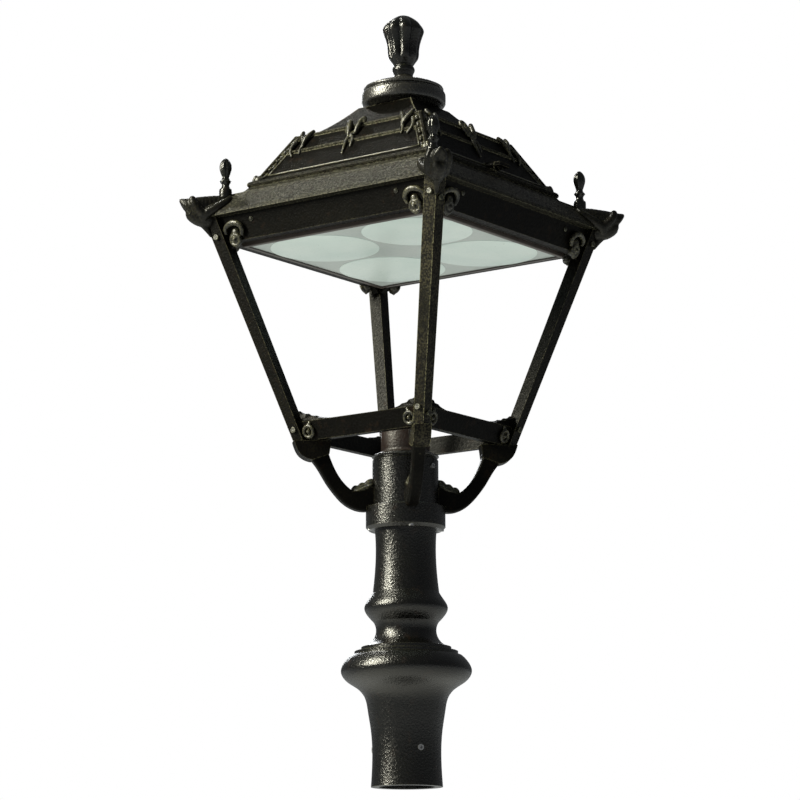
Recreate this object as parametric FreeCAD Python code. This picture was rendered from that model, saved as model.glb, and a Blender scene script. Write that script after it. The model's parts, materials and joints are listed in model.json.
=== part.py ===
import FreeCAD, Part
import math
import os

# Post-top street lantern on the top section of its column.
# Millimetres. +Z is up, the origin is on the column's axis at its lower end.
# The front of the lantern looks along -Y and the roof's latch along +X.
# "half" is half the side of a square section, "reach" the distance from the axis
# to a corner of it, measured in the corner's own upright plane.

# ---- Column top ----
COLUMN_TOP = 440.0
SHAFT_RADIUS = 58.0
NECK_RADIUS = 49.0
TORUS_RADIUS = 106.0
TORUS_HEIGHT = 186.0
BEAD_RADIUS = 67.8
TENON_RADIUS = 50.4
SOCKET_RADIUS = 45.0
SOCKET_DEPTH = 125.0
SPIGOT_RADIUS = 38.0
SPIGOT_WALL = 3.0
SPIGOT_LAP = 240.0
SPIGOT_SEAT = 4.0
SLIP_CLEARANCE = 0.3
SCREW_CLEARANCE = 0.1
COLUMN_SCREW_RADIUS = 5.0
COLUMN_SCREW_HEIGHT = 60.0

# ---- Collar, hub and cable entry ----
COLLAR_RADIUS = 65.0
COLLAR_LAP = 24.0
COLLAR_HEIGHT = 39.0
COLLAR_SCREW_REACH = 58.0
COLLAR_SCREW_RADIUS = 3.0
COLLAR_SCREW_HEAD = 5.0
HUB_RADIUS = 54.0
HUB_HEIGHT = 85.0
HUB_SCREW_DROP = 22.0
HUB_SCREW_RADIUS = 4.0
HUB_CAP_RADIUS = 40.0
HUB_CAP_HEIGHT = 48.0
HUB_CAP_WALL = 6.0
GLAND_THREAD_RADIUS = 8.0
GLAND_BORE_RADIUS = 5.0
GLAND_NUT_RADIUS = 13.0
GLAND_HEIGHT = 18.0

# ---- Cradle arms ----
ARM_RISE = 105.0
ARM_HALF_THICKNESS = 10.0
ARM_ROUNDING = 4.0
ARM_ROOT_HEIGHT = 31.0
FOOT_BOLT_RADIUS = 4.0
FOOT_BOLT_HEAD = 6.5

# ---- Open body of the lantern ----
OPEN_HEIGHT = 328.0
POST_FOOT_HALF = 131.0
POST_TOP_HALF = 236.3
POST_LEG_FOOT = 20.0
POST_LEG_TOP = 24.0
POST_WALL = 9.5
POST_SCREW_RADIUS = 2.5
POST_SCREW_HEAD = 4.5
POST_SCREW_LENGTH = 16.0
POST_SCREW_INSET = 11.0
POST_SCREW_STAGGER = 9.0
FOOT_HALF_THICKNESS = 14.0
RAIL_GAP = 0.5
LOWER_RAIL_HEIGHT = 31.0
LOWER_RAIL_WALL = 12.0
LOWER_GUSSET = 8.0
GUSSET_CUT = 34.0
UPPER_RAIL_HEIGHT = 42.0
UPPER_RAIL_WIDTH = 40.3
UPPER_LEDGE_WIDTH = 10.0
UPPER_LEDGE_DROP = 5.0

# ---- Cornice ----
LIP_OVERHANG = 3.7
BAND_SETBACK = 28.0
BAND_HEIGHT = 36.0
MOULDING_HEIGHT = 18.0
CORNICE_WALL = 32.0
LEDGE_SETBACK = 32.0
LEDGE_WIDTH = 16.0
LEDGE_THICKNESS = 10.0
CORNICE_SCREW_RADIUS = 3.0

# ---- Roof ----
ROOF_GAP = 0.3
ROOF_WALL = 5.0
BREAK_SETBACK = 52.0
SLOPE_HEIGHT = 88.0
UPPER_ROOF_HEIGHT = 56.0
ROOF_TOP_HALF = 54.0
ROOF_HOLE_HALF = 24.0
FRIEZE_HEIGHT = 29.0
BASE_BEAD = 6.0
FRIEZE_BEAD = 3.0
RIDGE_BEAD = 3.5
CAP_RADIUS = 70.4
CAP_HEIGHT = 58.0
CROWN_HEIGHT = 107.0
CROWN_RADIUS = 34.9
STUD_RADIUS = 6.0

# ---- Finials and leaves ----
FINIAL_LIFT = 10.0
FINIAL_HEIGHT = 57.0
FINIAL_RADIUS = 10.5
FINIAL_PIN_RADIUS = 3.0
CORNER_LEAF_OVERHANG = 35.6
CORNER_LEAF_HALF_THICKNESS = 16.0
LEAF_THICKNESS = 4.5
ROSETTE_RADIUS = 12.0
ROSETTE_DEPTH = 8.0
SCROLL_RADIUS = 12.0
SCROLL_DEPTH = 12.0

# ---- Hinges and latch ----
HINGE_OFFSET = 14.0
HINGE_RISE = 10.0
HINGE_SPACING = 170.0
HINGE_PIN_RADIUS = 3.0
HINGE_KNUCKLE_RADIUS = 6.5
MOVING_KNUCKLE = 22.0
FIXED_KNUCKLE = 12.0
SIDE_PLAY = 0.4
RUNNING_CLEARANCE = 0.05
LATCH_RISE = 16.0
LATCH_SHAFT_RADIUS = 5.0
LATCH_BOSS_RADIUS = 9.0
LATCH_BOSS_SETBACK = 7.0
LATCH_BOSS_PROUD = 8.0
LATCH_CAM_LENGTH = 24.0
LATCH_CAM_WIDTH = 9.0
LATCH_CAM_THICKNESS = 9.0
KEEPER_THICKNESS = 3.0

# ---- Light panel and gear ----
PANEL_SIDE_GAP = 5.0
PANEL_DROP = 5.0
PANEL_RIM = 7.0
DIFFUSER_THICKNESS = 3.0
DOME_GAP = 8.0
DOME_DEPTH = 7.0
TRAY_SHEET = 2.0
TRAY_LID = 3.0
TRAY_FLANGE = 8.0
BOARD_SIDE = 130.0
BOARD_THICKNESS = 1.6
CHIP_SIDE = 5.0
CHIP_PITCH = 32.0
GEAR_HALF = 135.0
STANDOFF_HEIGHT = 22.0
STANDOFF_INSET = 15.0
DRIVER_SIZE = (160.0, 78.0, 38.0)
TERMINAL_SIZE = (64.0, 22.0, 20.0)
SURGE_SIZE = (52.0, 40.0, 26.0)

# ---- Heights that follow from the sizes above ----
COLLAR_FOOT = COLUMN_TOP - COLLAR_LAP
COLLAR_TOP = COLLAR_FOOT + COLLAR_HEIGHT
HUB_TOP = COLLAR_TOP + HUB_HEIGHT
HUB_SCREW_HEIGHT = HUB_TOP - HUB_SCREW_DROP
SPIGOT_FOOT = COLUMN_TOP - SPIGOT_LAP
SPIGOT_TOP = HUB_TOP - 10.0
CAP_FOOT = HUB_TOP
CAP_PLATE_TOP = HUB_TOP + HUB_CAP_HEIGHT
ARM_ROOT_TOP = COLLAR_TOP + ARM_ROOT_HEIGHT
POST_FOOT = COLLAR_TOP + ARM_RISE
LOWER_RAIL_TOP = POST_FOOT + LOWER_RAIL_HEIGHT
UPPER_RAIL_FOOT = POST_FOOT + OPEN_HEIGHT
UPPER_RAIL_TOP = UPPER_RAIL_FOOT + UPPER_RAIL_HEIGHT
BAND_TOP = UPPER_RAIL_TOP + BAND_HEIGHT
CORNICE_TOP = BAND_TOP + MOULDING_HEIGHT
FINIAL_FOOT = BAND_TOP + FINIAL_LIFT
ROOF_FOOT = CORNICE_TOP + ROOF_GAP
BREAK_HEIGHT = CORNICE_TOP + SLOPE_HEIGHT
FRIEZE_FOOT = BREAK_HEIGHT - FRIEZE_HEIGHT
ROOF_TOP = BREAK_HEIGHT + UPPER_ROOF_HEIGHT
CAP_TOP = ROOF_TOP + CAP_HEIGHT
HINGE_HEIGHT = CORNICE_TOP + HINGE_RISE
LATCH_HEIGHT = CORNICE_TOP + LATCH_RISE
PANEL_FOOT = UPPER_RAIL_FOOT - PANEL_DROP
DIFFUSER_FOOT = PANEL_FOOT + 2.5
TRAY_WALL_FOOT = PANEL_FOOT + PANEL_RIM
TRAY_TOP = UPPER_RAIL_TOP - UPPER_LEDGE_DROP + TRAY_LID
GEAR_HEIGHT = TRAY_TOP + STANDOFF_HEIGHT
WASHER_TOP = ROOF_TOP - ROOF_WALL

# ---- Halves and reaches that follow ----
CABLE_WAY_RADIUS = SPIGOT_RADIUS - SPIGOT_SEAT
POST_SLOPE = (POST_TOP_HALF - POST_FOOT_HALF) / (UPPER_RAIL_TOP - POST_FOOT)
POST_REACH = POST_FOOT_HALF * math.sqrt(2)
ARM_TOP_OUTER = (POST_REACH - 30.26, POST_FOOT - 32.0)
ARM_TOP_INNER = (POST_REACH - 58.26, POST_FOOT - 21.4)
FOOT_BOLT_REACH = POST_REACH - 42.26
FOOT_BOLT_END = POST_FOOT - 42.0
UPPER_RAIL_INNER = POST_TOP_HALF - UPPER_RAIL_WIDTH
LIP_HALF = POST_TOP_HALF + LIP_OVERHANG
BAND_TOP_HALF = LIP_HALF - BAND_SETBACK
CORNICE_INNER = LIP_HALF - CORNICE_WALL
LEDGE_OUTER = BAND_TOP_HALF - LEDGE_SETBACK
LEDGE_INNER = LEDGE_OUTER - LEDGE_WIDTH
ROOF_HALF = LEDGE_OUTER
BREAK_HALF = ROOF_HALF - BREAK_SETBACK
ROOF_SLOPE = (ROOF_HALF - BREAK_HALF) / (BREAK_HEIGHT - ROOF_FOOT)
FINIAL_REACH = (BAND_TOP_HALF - 1) * math.sqrt(2)
CORNER_LEAF_REACH = LIP_HALF * math.sqrt(2) + CORNER_LEAF_OVERHANG
HINGE_HALF = ROOF_HALF + HINGE_OFFSET
LATCH_BOSS_INNER = LEDGE_INNER - LATCH_BOSS_SETBACK
LATCH_BOSS_OUTER = ROOF_HALF + LATCH_BOSS_PROUD
PANEL_HALF = UPPER_RAIL_INNER - PANEL_SIDE_GAP
TRAY_FLANGE_HALF = UPPER_RAIL_INNER + TRAY_FLANGE
DOME_SPACING = PANEL_HALF - 3
DOME_RADIUS = (DOME_SPACING - DOME_GAP) / 2
STANDOFF_REACH = GEAR_HALF - STANDOFF_INSET
RAIL_LEAN = -math.degrees(math.atan(POST_SLOPE))
ROOF_LEAN = math.degrees(math.atan(ROOF_SLOPE))

CORNERS = {"front_right": -45, "back_right": 45, "back_left": 135, "front_left": 225}
UP = FreeCAD.Vector(0, 0, 1)
AXIS_FOOT = FreeCAD.Vector(0, 0, 0)

os.makedirs("parts", exist_ok=True)


# ---- Shape helpers ----
def vec(x, y, z):
    return FreeCAD.Vector(x, y, z)


def upright_wire(stretches):
    """Closed wire in the XZ plane. Each stretch is ("line" or "smooth", points)."""
    edges = []
    first = None
    last = None
    for kind, points in stretches:
        spots = [vec(x, 0, z) for x, z in points]
        if last is not None and last.distanceToPoint(spots[0]) > 1e-6:
            edges.append(Part.LineSegment(last, spots[0]).toShape())
        if kind == "line":
            for start, end in zip(spots, spots[1:]):
                edges.append(Part.LineSegment(start, end).toShape())
        else:
            curve = Part.BSplineCurve()
            curve.interpolate(spots)
            edges.append(curve.toShape())
        first = first or spots[0]
        last = spots[-1]
    if last.distanceToPoint(first) > 1e-6:
        edges.append(Part.LineSegment(last, first).toShape())
    return Part.Wire(edges)


def turned(stretches):
    """Solid of revolution about Z of an outline of (radius, height)."""
    return Part.Face(upright_wire(stretches)).revolve(AXIS_FOOT, UP, 360)


def corner_slab(stretches, half_thickness):
    """Slab with an outline of (reach, height), upright in the plane of +X."""
    face = Part.Face(upright_wire(stretches))
    face.translate(vec(0, -half_thickness, 0))
    return face.extrude(vec(0, 2 * half_thickness, 0))


def mitred_ring(outline):
    """Square ring with mitred corners from a closed outline of (half, height)."""
    faces = []
    signs = [(1, -1), (1, 1), (-1, 1), (-1, -1)]
    for (half_a, z_a), (half_b, z_b) in zip(outline, outline[1:] + outline[:1]):
        for side in range(4):
            near = signs[side]
            far = signs[(side + 1) % 4]
            loop = [vec(near[0] * half_a, near[1] * half_a, z_a),
                    vec(far[0] * half_a, far[1] * half_a, z_a),
                    vec(far[0] * half_b, far[1] * half_b, z_b),
                    vec(near[0] * half_b, near[1] * half_b, z_b)]
            faces.append(Part.Face(Part.makePolygon(loop + loop[:1])))
    solid = Part.Solid(Part.Shell(faces))
    if solid.Volume < 0:
        solid.reverse()
    return solid


def square_plate(half, bottom, top):
    return Part.makeBox(2 * half, 2 * half, top - bottom, vec(-half, -half, bottom))


def box(x_range, y_range, z_range):
    size = [high - low for low, high in (x_range, y_range, z_range)]
    return Part.makeBox(*size, vec(x_range[0], y_range[0], z_range[0]))


def rod(radius, start, end):
    along = end - start
    return Part.makeCylinder(radius, along.Length, start, along)


def spun(shape, degrees):
    copy = shape.copy()
    copy.rotate(AXIS_FOOT, UP, degrees)
    return copy


def at_corners(shape):
    """One copy at each corner of a shape drawn upright in the plane of +X."""
    return [spun(shape, angle) for angle in CORNERS.values()]


def at_sides(shape):
    """One copy on each side of a shape drawn on the front."""
    return [spun(shape, 90 * side) for side in range(4)]


def on_front(shape, x, half, height, lean):
    """Stand a shape that lies on XY against a front face that leans in by lean."""
    placed = shape.copy()
    placed.rotate(AXIS_FOOT, vec(1, 0, 0), 90 - lean)
    placed.translate(vec(x, -half, height))
    return placed


def mirrored_pair(shape):
    return [shape, shape.mirror(AXIS_FOOT, vec(1, 0, 0))]


def bezier(start, control, end, steps):
    """Points along a quadratic curve, both ends included."""
    points = []
    for step in range(steps + 1):
        t = step / steps
        a = (1 - t) ** 2
        b = 2 * t * (1 - t)
        c = t ** 2
        points.append(tuple(a * s + b * m + c * e for s, m, e in zip(start, control, end)))
    return points


def arc_points(centre, radius, start, end, steps):
    """Points on an arc of (half, height), angles in degrees."""
    points = []
    for step in range(steps + 1):
        angle = math.radians(start + (end - start) * step / steps)
        points.append((centre[0] + radius * math.cos(angle), centre[1] + radius * math.sin(angle)))
    return points


def hex_prism(radius, height, foot):
    corners = [vec(radius * math.cos(math.radians(60 * k)), radius * math.sin(math.radians(60 * k)), foot)
               for k in range(7)]
    return Part.Face(Part.makePolygon(corners)).extrude(vec(0, 0, height))


def joined(shapes):
    """Fuse overlapping shapes to one solid."""
    whole = shapes[0]
    for shape in shapes[1:]:
        whole = whole.fuse(shape)
    return whole.removeSplitter()


def largest(shape):
    return max(shape.Solids, key=lambda solid: solid.Volume)


def save(name, shapes):
    """Write one node. A list is a group of separate solids."""
    group = shapes if isinstance(shapes, list) else [shapes]
    solids = [solid for shape in group for solid in shape.Solids]
    for solid in solids:
        if not solid.isValid() or not solid.isClosed():
            raise ValueError("open or invalid solid in " + name)
    whole = solids[0] if len(solids) == 1 else Part.makeCompound(solids)
    whole.exportStep("parts/" + name + ".step")


# ---- Sloping faces ----
def post_half(height):
    """Half side of the square that the corner posts' outer edges lie on."""
    return POST_FOOT_HALF + POST_SLOPE * (height - POST_FOOT)


def rail_half(height):
    """Half side of the rails' outer faces, which lie inside the posts' legs."""
    return post_half(height) - POST_WALL - RAIL_GAP


def roof_half(height):
    """Half side of the roof's lower slope."""
    return ROOF_HALF - ROOF_SLOPE * (height - ROOF_FOOT)


# ---- Column top, spigot and set screws ----
def column_top():
    torus = TORUS_HEIGHT
    bead = torus + 102
    neck_foot = bead + 26
    neck = COLLAR_FOOT - neck_foot
    outer = turned([
        ("line", [(0, 0), (SHAFT_RADIUS, 0)]),
        ("smooth", [(SHAFT_RADIUS, 0), (SHAFT_RADIUS - 0.3, torus - 96), (SHAFT_RADIUS + 4.9, torus - 62),
                    (SHAFT_RADIUS + 10.6, torus - 40), (SHAFT_RADIUS + 22, torus - 27),
                    (TORUS_RADIUS - 7.4, torus - 14), (TORUS_RADIUS, torus), (TORUS_RADIUS - 4, torus + 12),
                    (TORUS_RADIUS - 15.4, torus + 25)]),
        ("line", [(TORUS_RADIUS - 15.4, torus + 25), (TORUS_RADIUS - 22, torus + 27),
                  (TORUS_RADIUS - 22, torus + 32), (TORUS_RADIUS - 33, torus + 34),
                  (TORUS_RADIUS - 33, torus + 39)]),
        ("smooth", [(TORUS_RADIUS - 33, torus + 39), (NECK_RADIUS + 10, torus + 45), (NECK_RADIUS + 1, bead - 43),
                    (NECK_RADIUS, bead - 34), (NECK_RADIUS + 4, bead - 22)]),
        ("smooth", [(NECK_RADIUS + 4, bead - 22), (BEAD_RADIUS - 5.8, bead - 12), (BEAD_RADIUS, bead),
                    (BEAD_RADIUS - 6.8, bead + 15), (NECK_RADIUS + 5, neck_foot)]),
        ("smooth", [(NECK_RADIUS + 5, neck_foot), (NECK_RADIUS + 2.5, neck_foot + 0.216 * neck),
                    (NECK_RADIUS, neck_foot + 0.696 * neck), (TENON_RADIUS, COLLAR_FOOT)]),
        ("line", [(TENON_RADIUS, COLLAR_FOOT), (TENON_RADIUS, COLUMN_TOP), (0, COLUMN_TOP)]),
    ])
    hollow = joined([
        Part.makeCylinder(SOCKET_RADIUS, SOCKET_DEPTH + 1, vec(0, 0, -1)),
        Part.makeCylinder(CABLE_WAY_RADIUS, COLUMN_TOP, vec(0, 0, 0)),
        Part.makeCylinder(SPIGOT_RADIUS + SLIP_CLEARANCE, COLUMN_TOP, vec(0, 0, SPIGOT_FOOT)),
    ])
    holes = [rod(COLUMN_SCREW_RADIUS, *ends) for ends in column_screw_ends(SHAFT_RADIUS + 10)]
    column = outer.cut(hollow)
    for hole in holes:
        column = column.cut(hole)
    return column


def column_screw_ends(outer_radius):
    """Inner and outer end of each of the three screws in the column's socket."""
    ends = []
    for angle in (90, 210, 330):
        way = vec(math.cos(math.radians(angle)), math.sin(math.radians(angle)), 0)
        lift = vec(0, 0, COLUMN_SCREW_HEIGHT)
        ends.append((way * (SOCKET_RADIUS - 0.5) + lift, way * outer_radius + lift))
    return ends


def column_set_screws():
    screws = []
    for inner, outer in column_screw_ends(SHAFT_RADIUS - 1.5):
        way = (outer - inner).normalize()
        inner = inner + way
        screw = rod(COLUMN_SCREW_RADIUS - SCREW_CLEARANCE, inner, outer)
        key = rod(2.5, outer - way * 4, outer + way)
        screws.append(screw.cut(key))
    return screws


def spigot_tube():
    tube = Part.makeCylinder(SPIGOT_RADIUS, SPIGOT_TOP - SPIGOT_FOOT, vec(0, 0, SPIGOT_FOOT))
    return tube.cut(Part.makeCylinder(SPIGOT_RADIUS - SPIGOT_WALL, SPIGOT_TOP, vec(0, 0, 0)))


# ---- Collar, hub and cable entry ----
def collar_ring():
    bore = TENON_RADIUS + SLIP_CLEARANCE
    ring = turned([
        ("line", [(bore, COLLAR_FOOT), (COLLAR_RADIUS - 5, COLLAR_FOOT), (COLLAR_RADIUS, COLLAR_FOOT + 5),
                  (COLLAR_RADIUS, COLLAR_TOP - 2), (COLLAR_RADIUS - 2, COLLAR_TOP),
                  (SPIGOT_RADIUS + SLIP_CLEARANCE, COLLAR_TOP), (SPIGOT_RADIUS + SLIP_CLEARANCE, COLUMN_TOP),
                  (bore, COLUMN_TOP)]),
    ])
    for angle in CORNERS.values():
        head, shank = collar_screw_rods(angle, SCREW_CLEARANCE)
        ring = ring.cut(head).cut(shank)
    return ring


def collar_screw_rods(angle, clearance):
    """Head and shank of the screw that holds one arm's root to the collar."""
    way = vec(math.cos(math.radians(angle)), math.sin(math.radians(angle)), 0) * COLLAR_SCREW_REACH
    head = rod(COLLAR_SCREW_HEAD + clearance, way + vec(0, 0, COLLAR_FOOT - clearance),
               way + vec(0, 0, COLLAR_FOOT + 6))
    shank = rod(COLLAR_SCREW_RADIUS + clearance, way + vec(0, 0, COLLAR_FOOT + 5),
                way + vec(0, 0, COLLAR_TOP + 12))
    return head, shank


def collar_screws():
    screws = []
    for angle in CORNERS.values():
        head, shank = collar_screw_rods(angle, 0)
        screws.append(joined([head, shank]))
    return screws


def hub_socket():
    bore = SPIGOT_RADIUS + SLIP_CLEARANCE
    hub = turned([
        ("line", [(bore, COLLAR_TOP), (HUB_RADIUS, COLLAR_TOP), (HUB_RADIUS, HUB_TOP - 9),
                  (HUB_RADIUS - 2, HUB_TOP - 7), (HUB_RADIUS - 2, HUB_TOP - 5)]),
        ("smooth", [(HUB_RADIUS - 2, HUB_TOP - 5), (HUB_RADIUS + 1, HUB_TOP - 2.5), (HUB_RADIUS - 2, HUB_TOP)]),
        ("line", [(HUB_RADIUS - 2, HUB_TOP), (bore, HUB_TOP)]),
    ])
    for inner, outer in hub_screw_ends(HUB_RADIUS + 5):
        hub = hub.cut(rod(HUB_SCREW_RADIUS, inner, outer))
    return hub


def hub_screw_ends(outer_radius):
    """Inner and outer end of each screw that clamps the spigot."""
    ends = []
    for angle in (0, 90, 180):
        way = vec(math.cos(math.radians(angle)), math.sin(math.radians(angle)), 0)
        lift = vec(0, 0, HUB_SCREW_HEIGHT)
        ends.append((way * (SPIGOT_RADIUS + 0.1) + lift, way * outer_radius + lift))
    return ends


def hub_set_screws():
    screws = []
    for inner, outer in hub_screw_ends(HUB_RADIUS + 3):
        way = (outer - inner).normalize()
        screw = rod(HUB_SCREW_RADIUS - SCREW_CLEARANCE, inner, outer)
        screws.append(screw.cut(rod(2, outer - way * 4, outer + way)))
    return screws


def hub_cap():
    inner = HUB_CAP_RADIUS - HUB_CAP_WALL
    return turned([
        ("line", [(inner, CAP_FOOT), (HUB_CAP_RADIUS + 5, CAP_FOOT), (HUB_CAP_RADIUS + 5, CAP_FOOT + 3)]),
        ("smooth", [(HUB_CAP_RADIUS + 5, CAP_FOOT + 3), (HUB_CAP_RADIUS + 1, CAP_FOOT + 5),
                    (HUB_CAP_RADIUS, CAP_FOOT + 10)]),
        ("line", [(HUB_CAP_RADIUS, CAP_FOOT + 10), (HUB_CAP_RADIUS, CAP_PLATE_TOP - 6),
                  (HUB_CAP_RADIUS - 6, CAP_PLATE_TOP), (GLAND_THREAD_RADIUS + SCREW_CLEARANCE, CAP_PLATE_TOP),
                  (GLAND_THREAD_RADIUS + SCREW_CLEARANCE, CAP_PLATE_TOP - HUB_CAP_WALL),
                  (inner - 4, CAP_PLATE_TOP - HUB_CAP_WALL), (inner, CAP_PLATE_TOP - HUB_CAP_WALL - 4)]),
    ])


def cable_gland():
    thread = Part.makeCylinder(GLAND_THREAD_RADIUS, 18, vec(0, 0, CAP_PLATE_TOP - 18))
    flange = hex_prism(GLAND_NUT_RADIUS, 6, CAP_PLATE_TOP)
    dome = Part.makeCone(GLAND_NUT_RADIUS - 2, GLAND_NUT_RADIUS - 5, GLAND_HEIGHT - 6,
                         vec(0, 0, CAP_PLATE_TOP + 6))
    bore = Part.makeCylinder(GLAND_BORE_RADIUS, 100, vec(0, 0, CAP_PLATE_TOP - 40))
    return joined([thread, flange, dome]).cut(bore)


# ---- Cradle arms ----
def arm_spot(out, up):
    """Point of an arm's outline, as shares of the way out and up from its root to its top."""
    side = COLLAR_RADIUS + SLIP_CLEARANCE
    root = COLLAR_TOP - 9
    return (side + out * (ARM_TOP_OUTER[0] - side), root + up * (ARM_TOP_OUTER[1] - root))


def cradle_arm():
    """Curved arm from the hub's root to the foot of one corner post."""
    under = [arm_spot(*share) for share in ((0, 0), (0.2531, 0.0427), (0.4426, 0.1707), (0.5931, 0.3476),
                                            (0.7436, 0.5732), (0.8662, 0.7988), (1, 1))]
    over = [arm_spot(*share) for share in ((0.5875, 0.8537), (0.4259, 0.5732), (0.2308, 0.3902))]
    root = HUB_RADIUS - 6
    arm = corner_slab([
        ("line", [(root, ARM_ROOT_TOP), (root, COLLAR_TOP), (under[0][0], COLLAR_TOP), under[0]]),
        ("smooth", under),
        ("line", [ARM_TOP_OUTER, ARM_TOP_INNER]),
        ("smooth", [ARM_TOP_INNER] + over),
        ("line", [over[-1], (HUB_RADIUS + 16, ARM_ROOT_TOP - 6), (HUB_RADIUS + 4, ARM_ROOT_TOP)]),
    ], ARM_HALF_THICKNESS)
    rounded = [edge for edge in arm.Edges
               if edge.Curve.TypeId == "Part::GeomBSplineCurve" and edge.Length > 20]
    arm = arm.makeFillet(ARM_ROUNDING, rounded)
    arm = arm.cut(Part.makeCylinder(HUB_RADIUS, HUB_TOP, AXIS_FOOT))
    arm = arm.cut(collar_screw_rods(0, SCREW_CLEARANCE)[1])
    return arm.cut(foot_bolt(FOOT_BOLT_RADIUS + SCREW_CLEARANCE))


def arm_leaf():
    """Leaf scroll that rises from the arm's root against the hub."""
    root = HUB_RADIUS - 6
    foot = arm_spot(0.2308, 0.3902)
    crest = [(HUB_RADIUS + 23, ARM_ROOT_TOP + 1.5), (HUB_RADIUS + 16, ARM_ROOT_TOP + 7),
             (HUB_RADIUS + 9, ARM_ROOT_TOP + 8), (HUB_RADIUS + 3, ARM_ROOT_TOP + 13)]
    leaf = corner_slab([
        ("smooth", [(foot[0] + 3, foot[1] + 3.5), (foot[0] - 2, foot[1] + 8.5)] + crest),
        ("line", [crest[-1], (root, ARM_ROOT_TOP + 13), (root, ARM_ROOT_TOP + 0.1),
                  (HUB_RADIUS + 4, ARM_ROOT_TOP + 0.1), (HUB_RADIUS + 16, ARM_ROOT_TOP - 5.8),
                  (foot[0], foot[1] + 0.2), (foot[0] + 3, foot[1] + 3.5)]),
    ], ARM_HALF_THICKNESS - 3)
    return leaf.cut(Part.makeCylinder(HUB_RADIUS, HUB_TOP, AXIS_FOOT))


def foot_bolt(radius):
    """Shank of the bolt that ties the frame's corner, the post's foot and the arm."""
    return rod(radius, vec(FOOT_BOLT_REACH, 0, FOOT_BOLT_END), vec(FOOT_BOLT_REACH, 0, POST_FOOT + LOWER_GUSSET))


def foot_bolt_with_head():
    head_foot = POST_FOOT + LOWER_GUSSET
    head = Part.makeCylinder(FOOT_BOLT_HEAD, 7, vec(FOOT_BOLT_REACH, 0, head_foot))
    key = Part.makeCylinder(3, 5, vec(FOOT_BOLT_REACH, 0, head_foot + 3))
    return joined([foot_bolt(FOOT_BOLT_RADIUS), head]).cut(key)


# ---- Corner posts and the two rail frames ----
def angle_section(height, leg):
    """L-shaped section of the front right post at one height."""
    half = post_half(height)
    points = [(half, -half), (half - leg, -half), (half - leg, -half + POST_WALL),
              (half - POST_WALL, -half + POST_WALL), (half - POST_WALL, -half + leg), (half, -half + leg)]
    loop = [vec(x, y, height) for x, y in points]
    return Part.makePolygon(loop + loop[:1])


def square_section(height, leg):
    """Closed section of the front right post at one height."""
    half = post_half(height)
    points = [(half, -half), (half - leg, -half), (half - leg, -half + leg), (half, -half + leg)]
    loop = [vec(x, y, height) for x, y in points]
    return Part.makePolygon(loop + loop[:1])


def post_leg(height):
    """Width of a post's faces, which grows evenly towards the top."""
    share = (height - POST_FOOT) / (UPPER_RAIL_TOP - POST_FOOT)
    return POST_LEG_FOOT + share * (POST_LEG_TOP - POST_LEG_FOOT)


def corner_post():
    """Square tapering post at the front right, notched for both frames, with its lobed foot."""
    shaft = Part.makeLoft([angle_section(POST_FOOT - 4, POST_LEG_FOOT),
                           angle_section(UPPER_RAIL_TOP, POST_LEG_TOP)], True, True)
    shaft = shaft.cut(square_plate(post_half(POST_FOOT) - POST_WALL, POST_FOOT - 5, POST_FOOT))
    low = LOWER_RAIL_TOP + RAIL_GAP
    high = UPPER_RAIL_FOOT - RAIL_GAP
    core = Part.makeLoft([square_section(low, post_leg(low)), square_section(high, post_leg(high))], True, True)
    foot = corner_slab([
        ("smooth", [(POST_REACH, POST_FOOT), (POST_REACH - 4, POST_FOOT - 12), (POST_REACH - 10, POST_FOOT - 22),
                    (POST_REACH - 20, POST_FOOT - 29), ARM_TOP_OUTER]),
        ("line", [ARM_TOP_OUTER, ARM_TOP_INNER, (ARM_TOP_INNER[0] - 3, POST_FOOT)]),
    ], FOOT_HALF_THICKNESS)
    foot = spun(foot.cut(foot_bolt(FOOT_BOLT_RADIUS + SCREW_CLEARANCE)), CORNERS["front_right"])
    post = joined([shaft, core, foot])
    for screw in post_screw_places():
        post = post.cut(screw_at(screw, POST_SCREW_RADIUS + SCREW_CLEARANCE))
    return post


def post_screw_places():
    """Centre on the front face and on the right face of the front right post."""
    places = []
    for height in (POST_FOOT + 26, UPPER_RAIL_TOP - 25):
        lower = height - POST_SCREW_STAGGER
        places.append((post_half(height) - POST_SCREW_INSET, -post_half(height), height, 0))
        places.append((post_half(lower), -post_half(lower) + POST_SCREW_INSET, lower, 90))
    return places


def screw_at(place, radius):
    x, y, height, side = place
    start = vec(x, y, height)
    inward = vec(0, 1, 0) if side == 0 else vec(-1, 0, 0)
    return rod(radius, start - inward * 3, start + inward * POST_SCREW_LENGTH)


def post_screws():
    """Domed screws through the legs of each post into the rails."""
    screws = []
    for place in post_screw_places():
        x, y, height, side = place
        outward = vec(0, -1, 0) if side == 0 else vec(1, 0, 0)
        seat = vec(x, y, height) + outward * 1.6
        shank = rod(POST_SCREW_RADIUS, seat - outward * POST_SCREW_LENGTH, seat)
        head = rod(POST_SCREW_HEAD, seat, seat + outward * 2.4)
        screws.append(joined([shank, head]))
    return [spun(screw, 90 * side) for side in range(4) for screw in screws]


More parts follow.
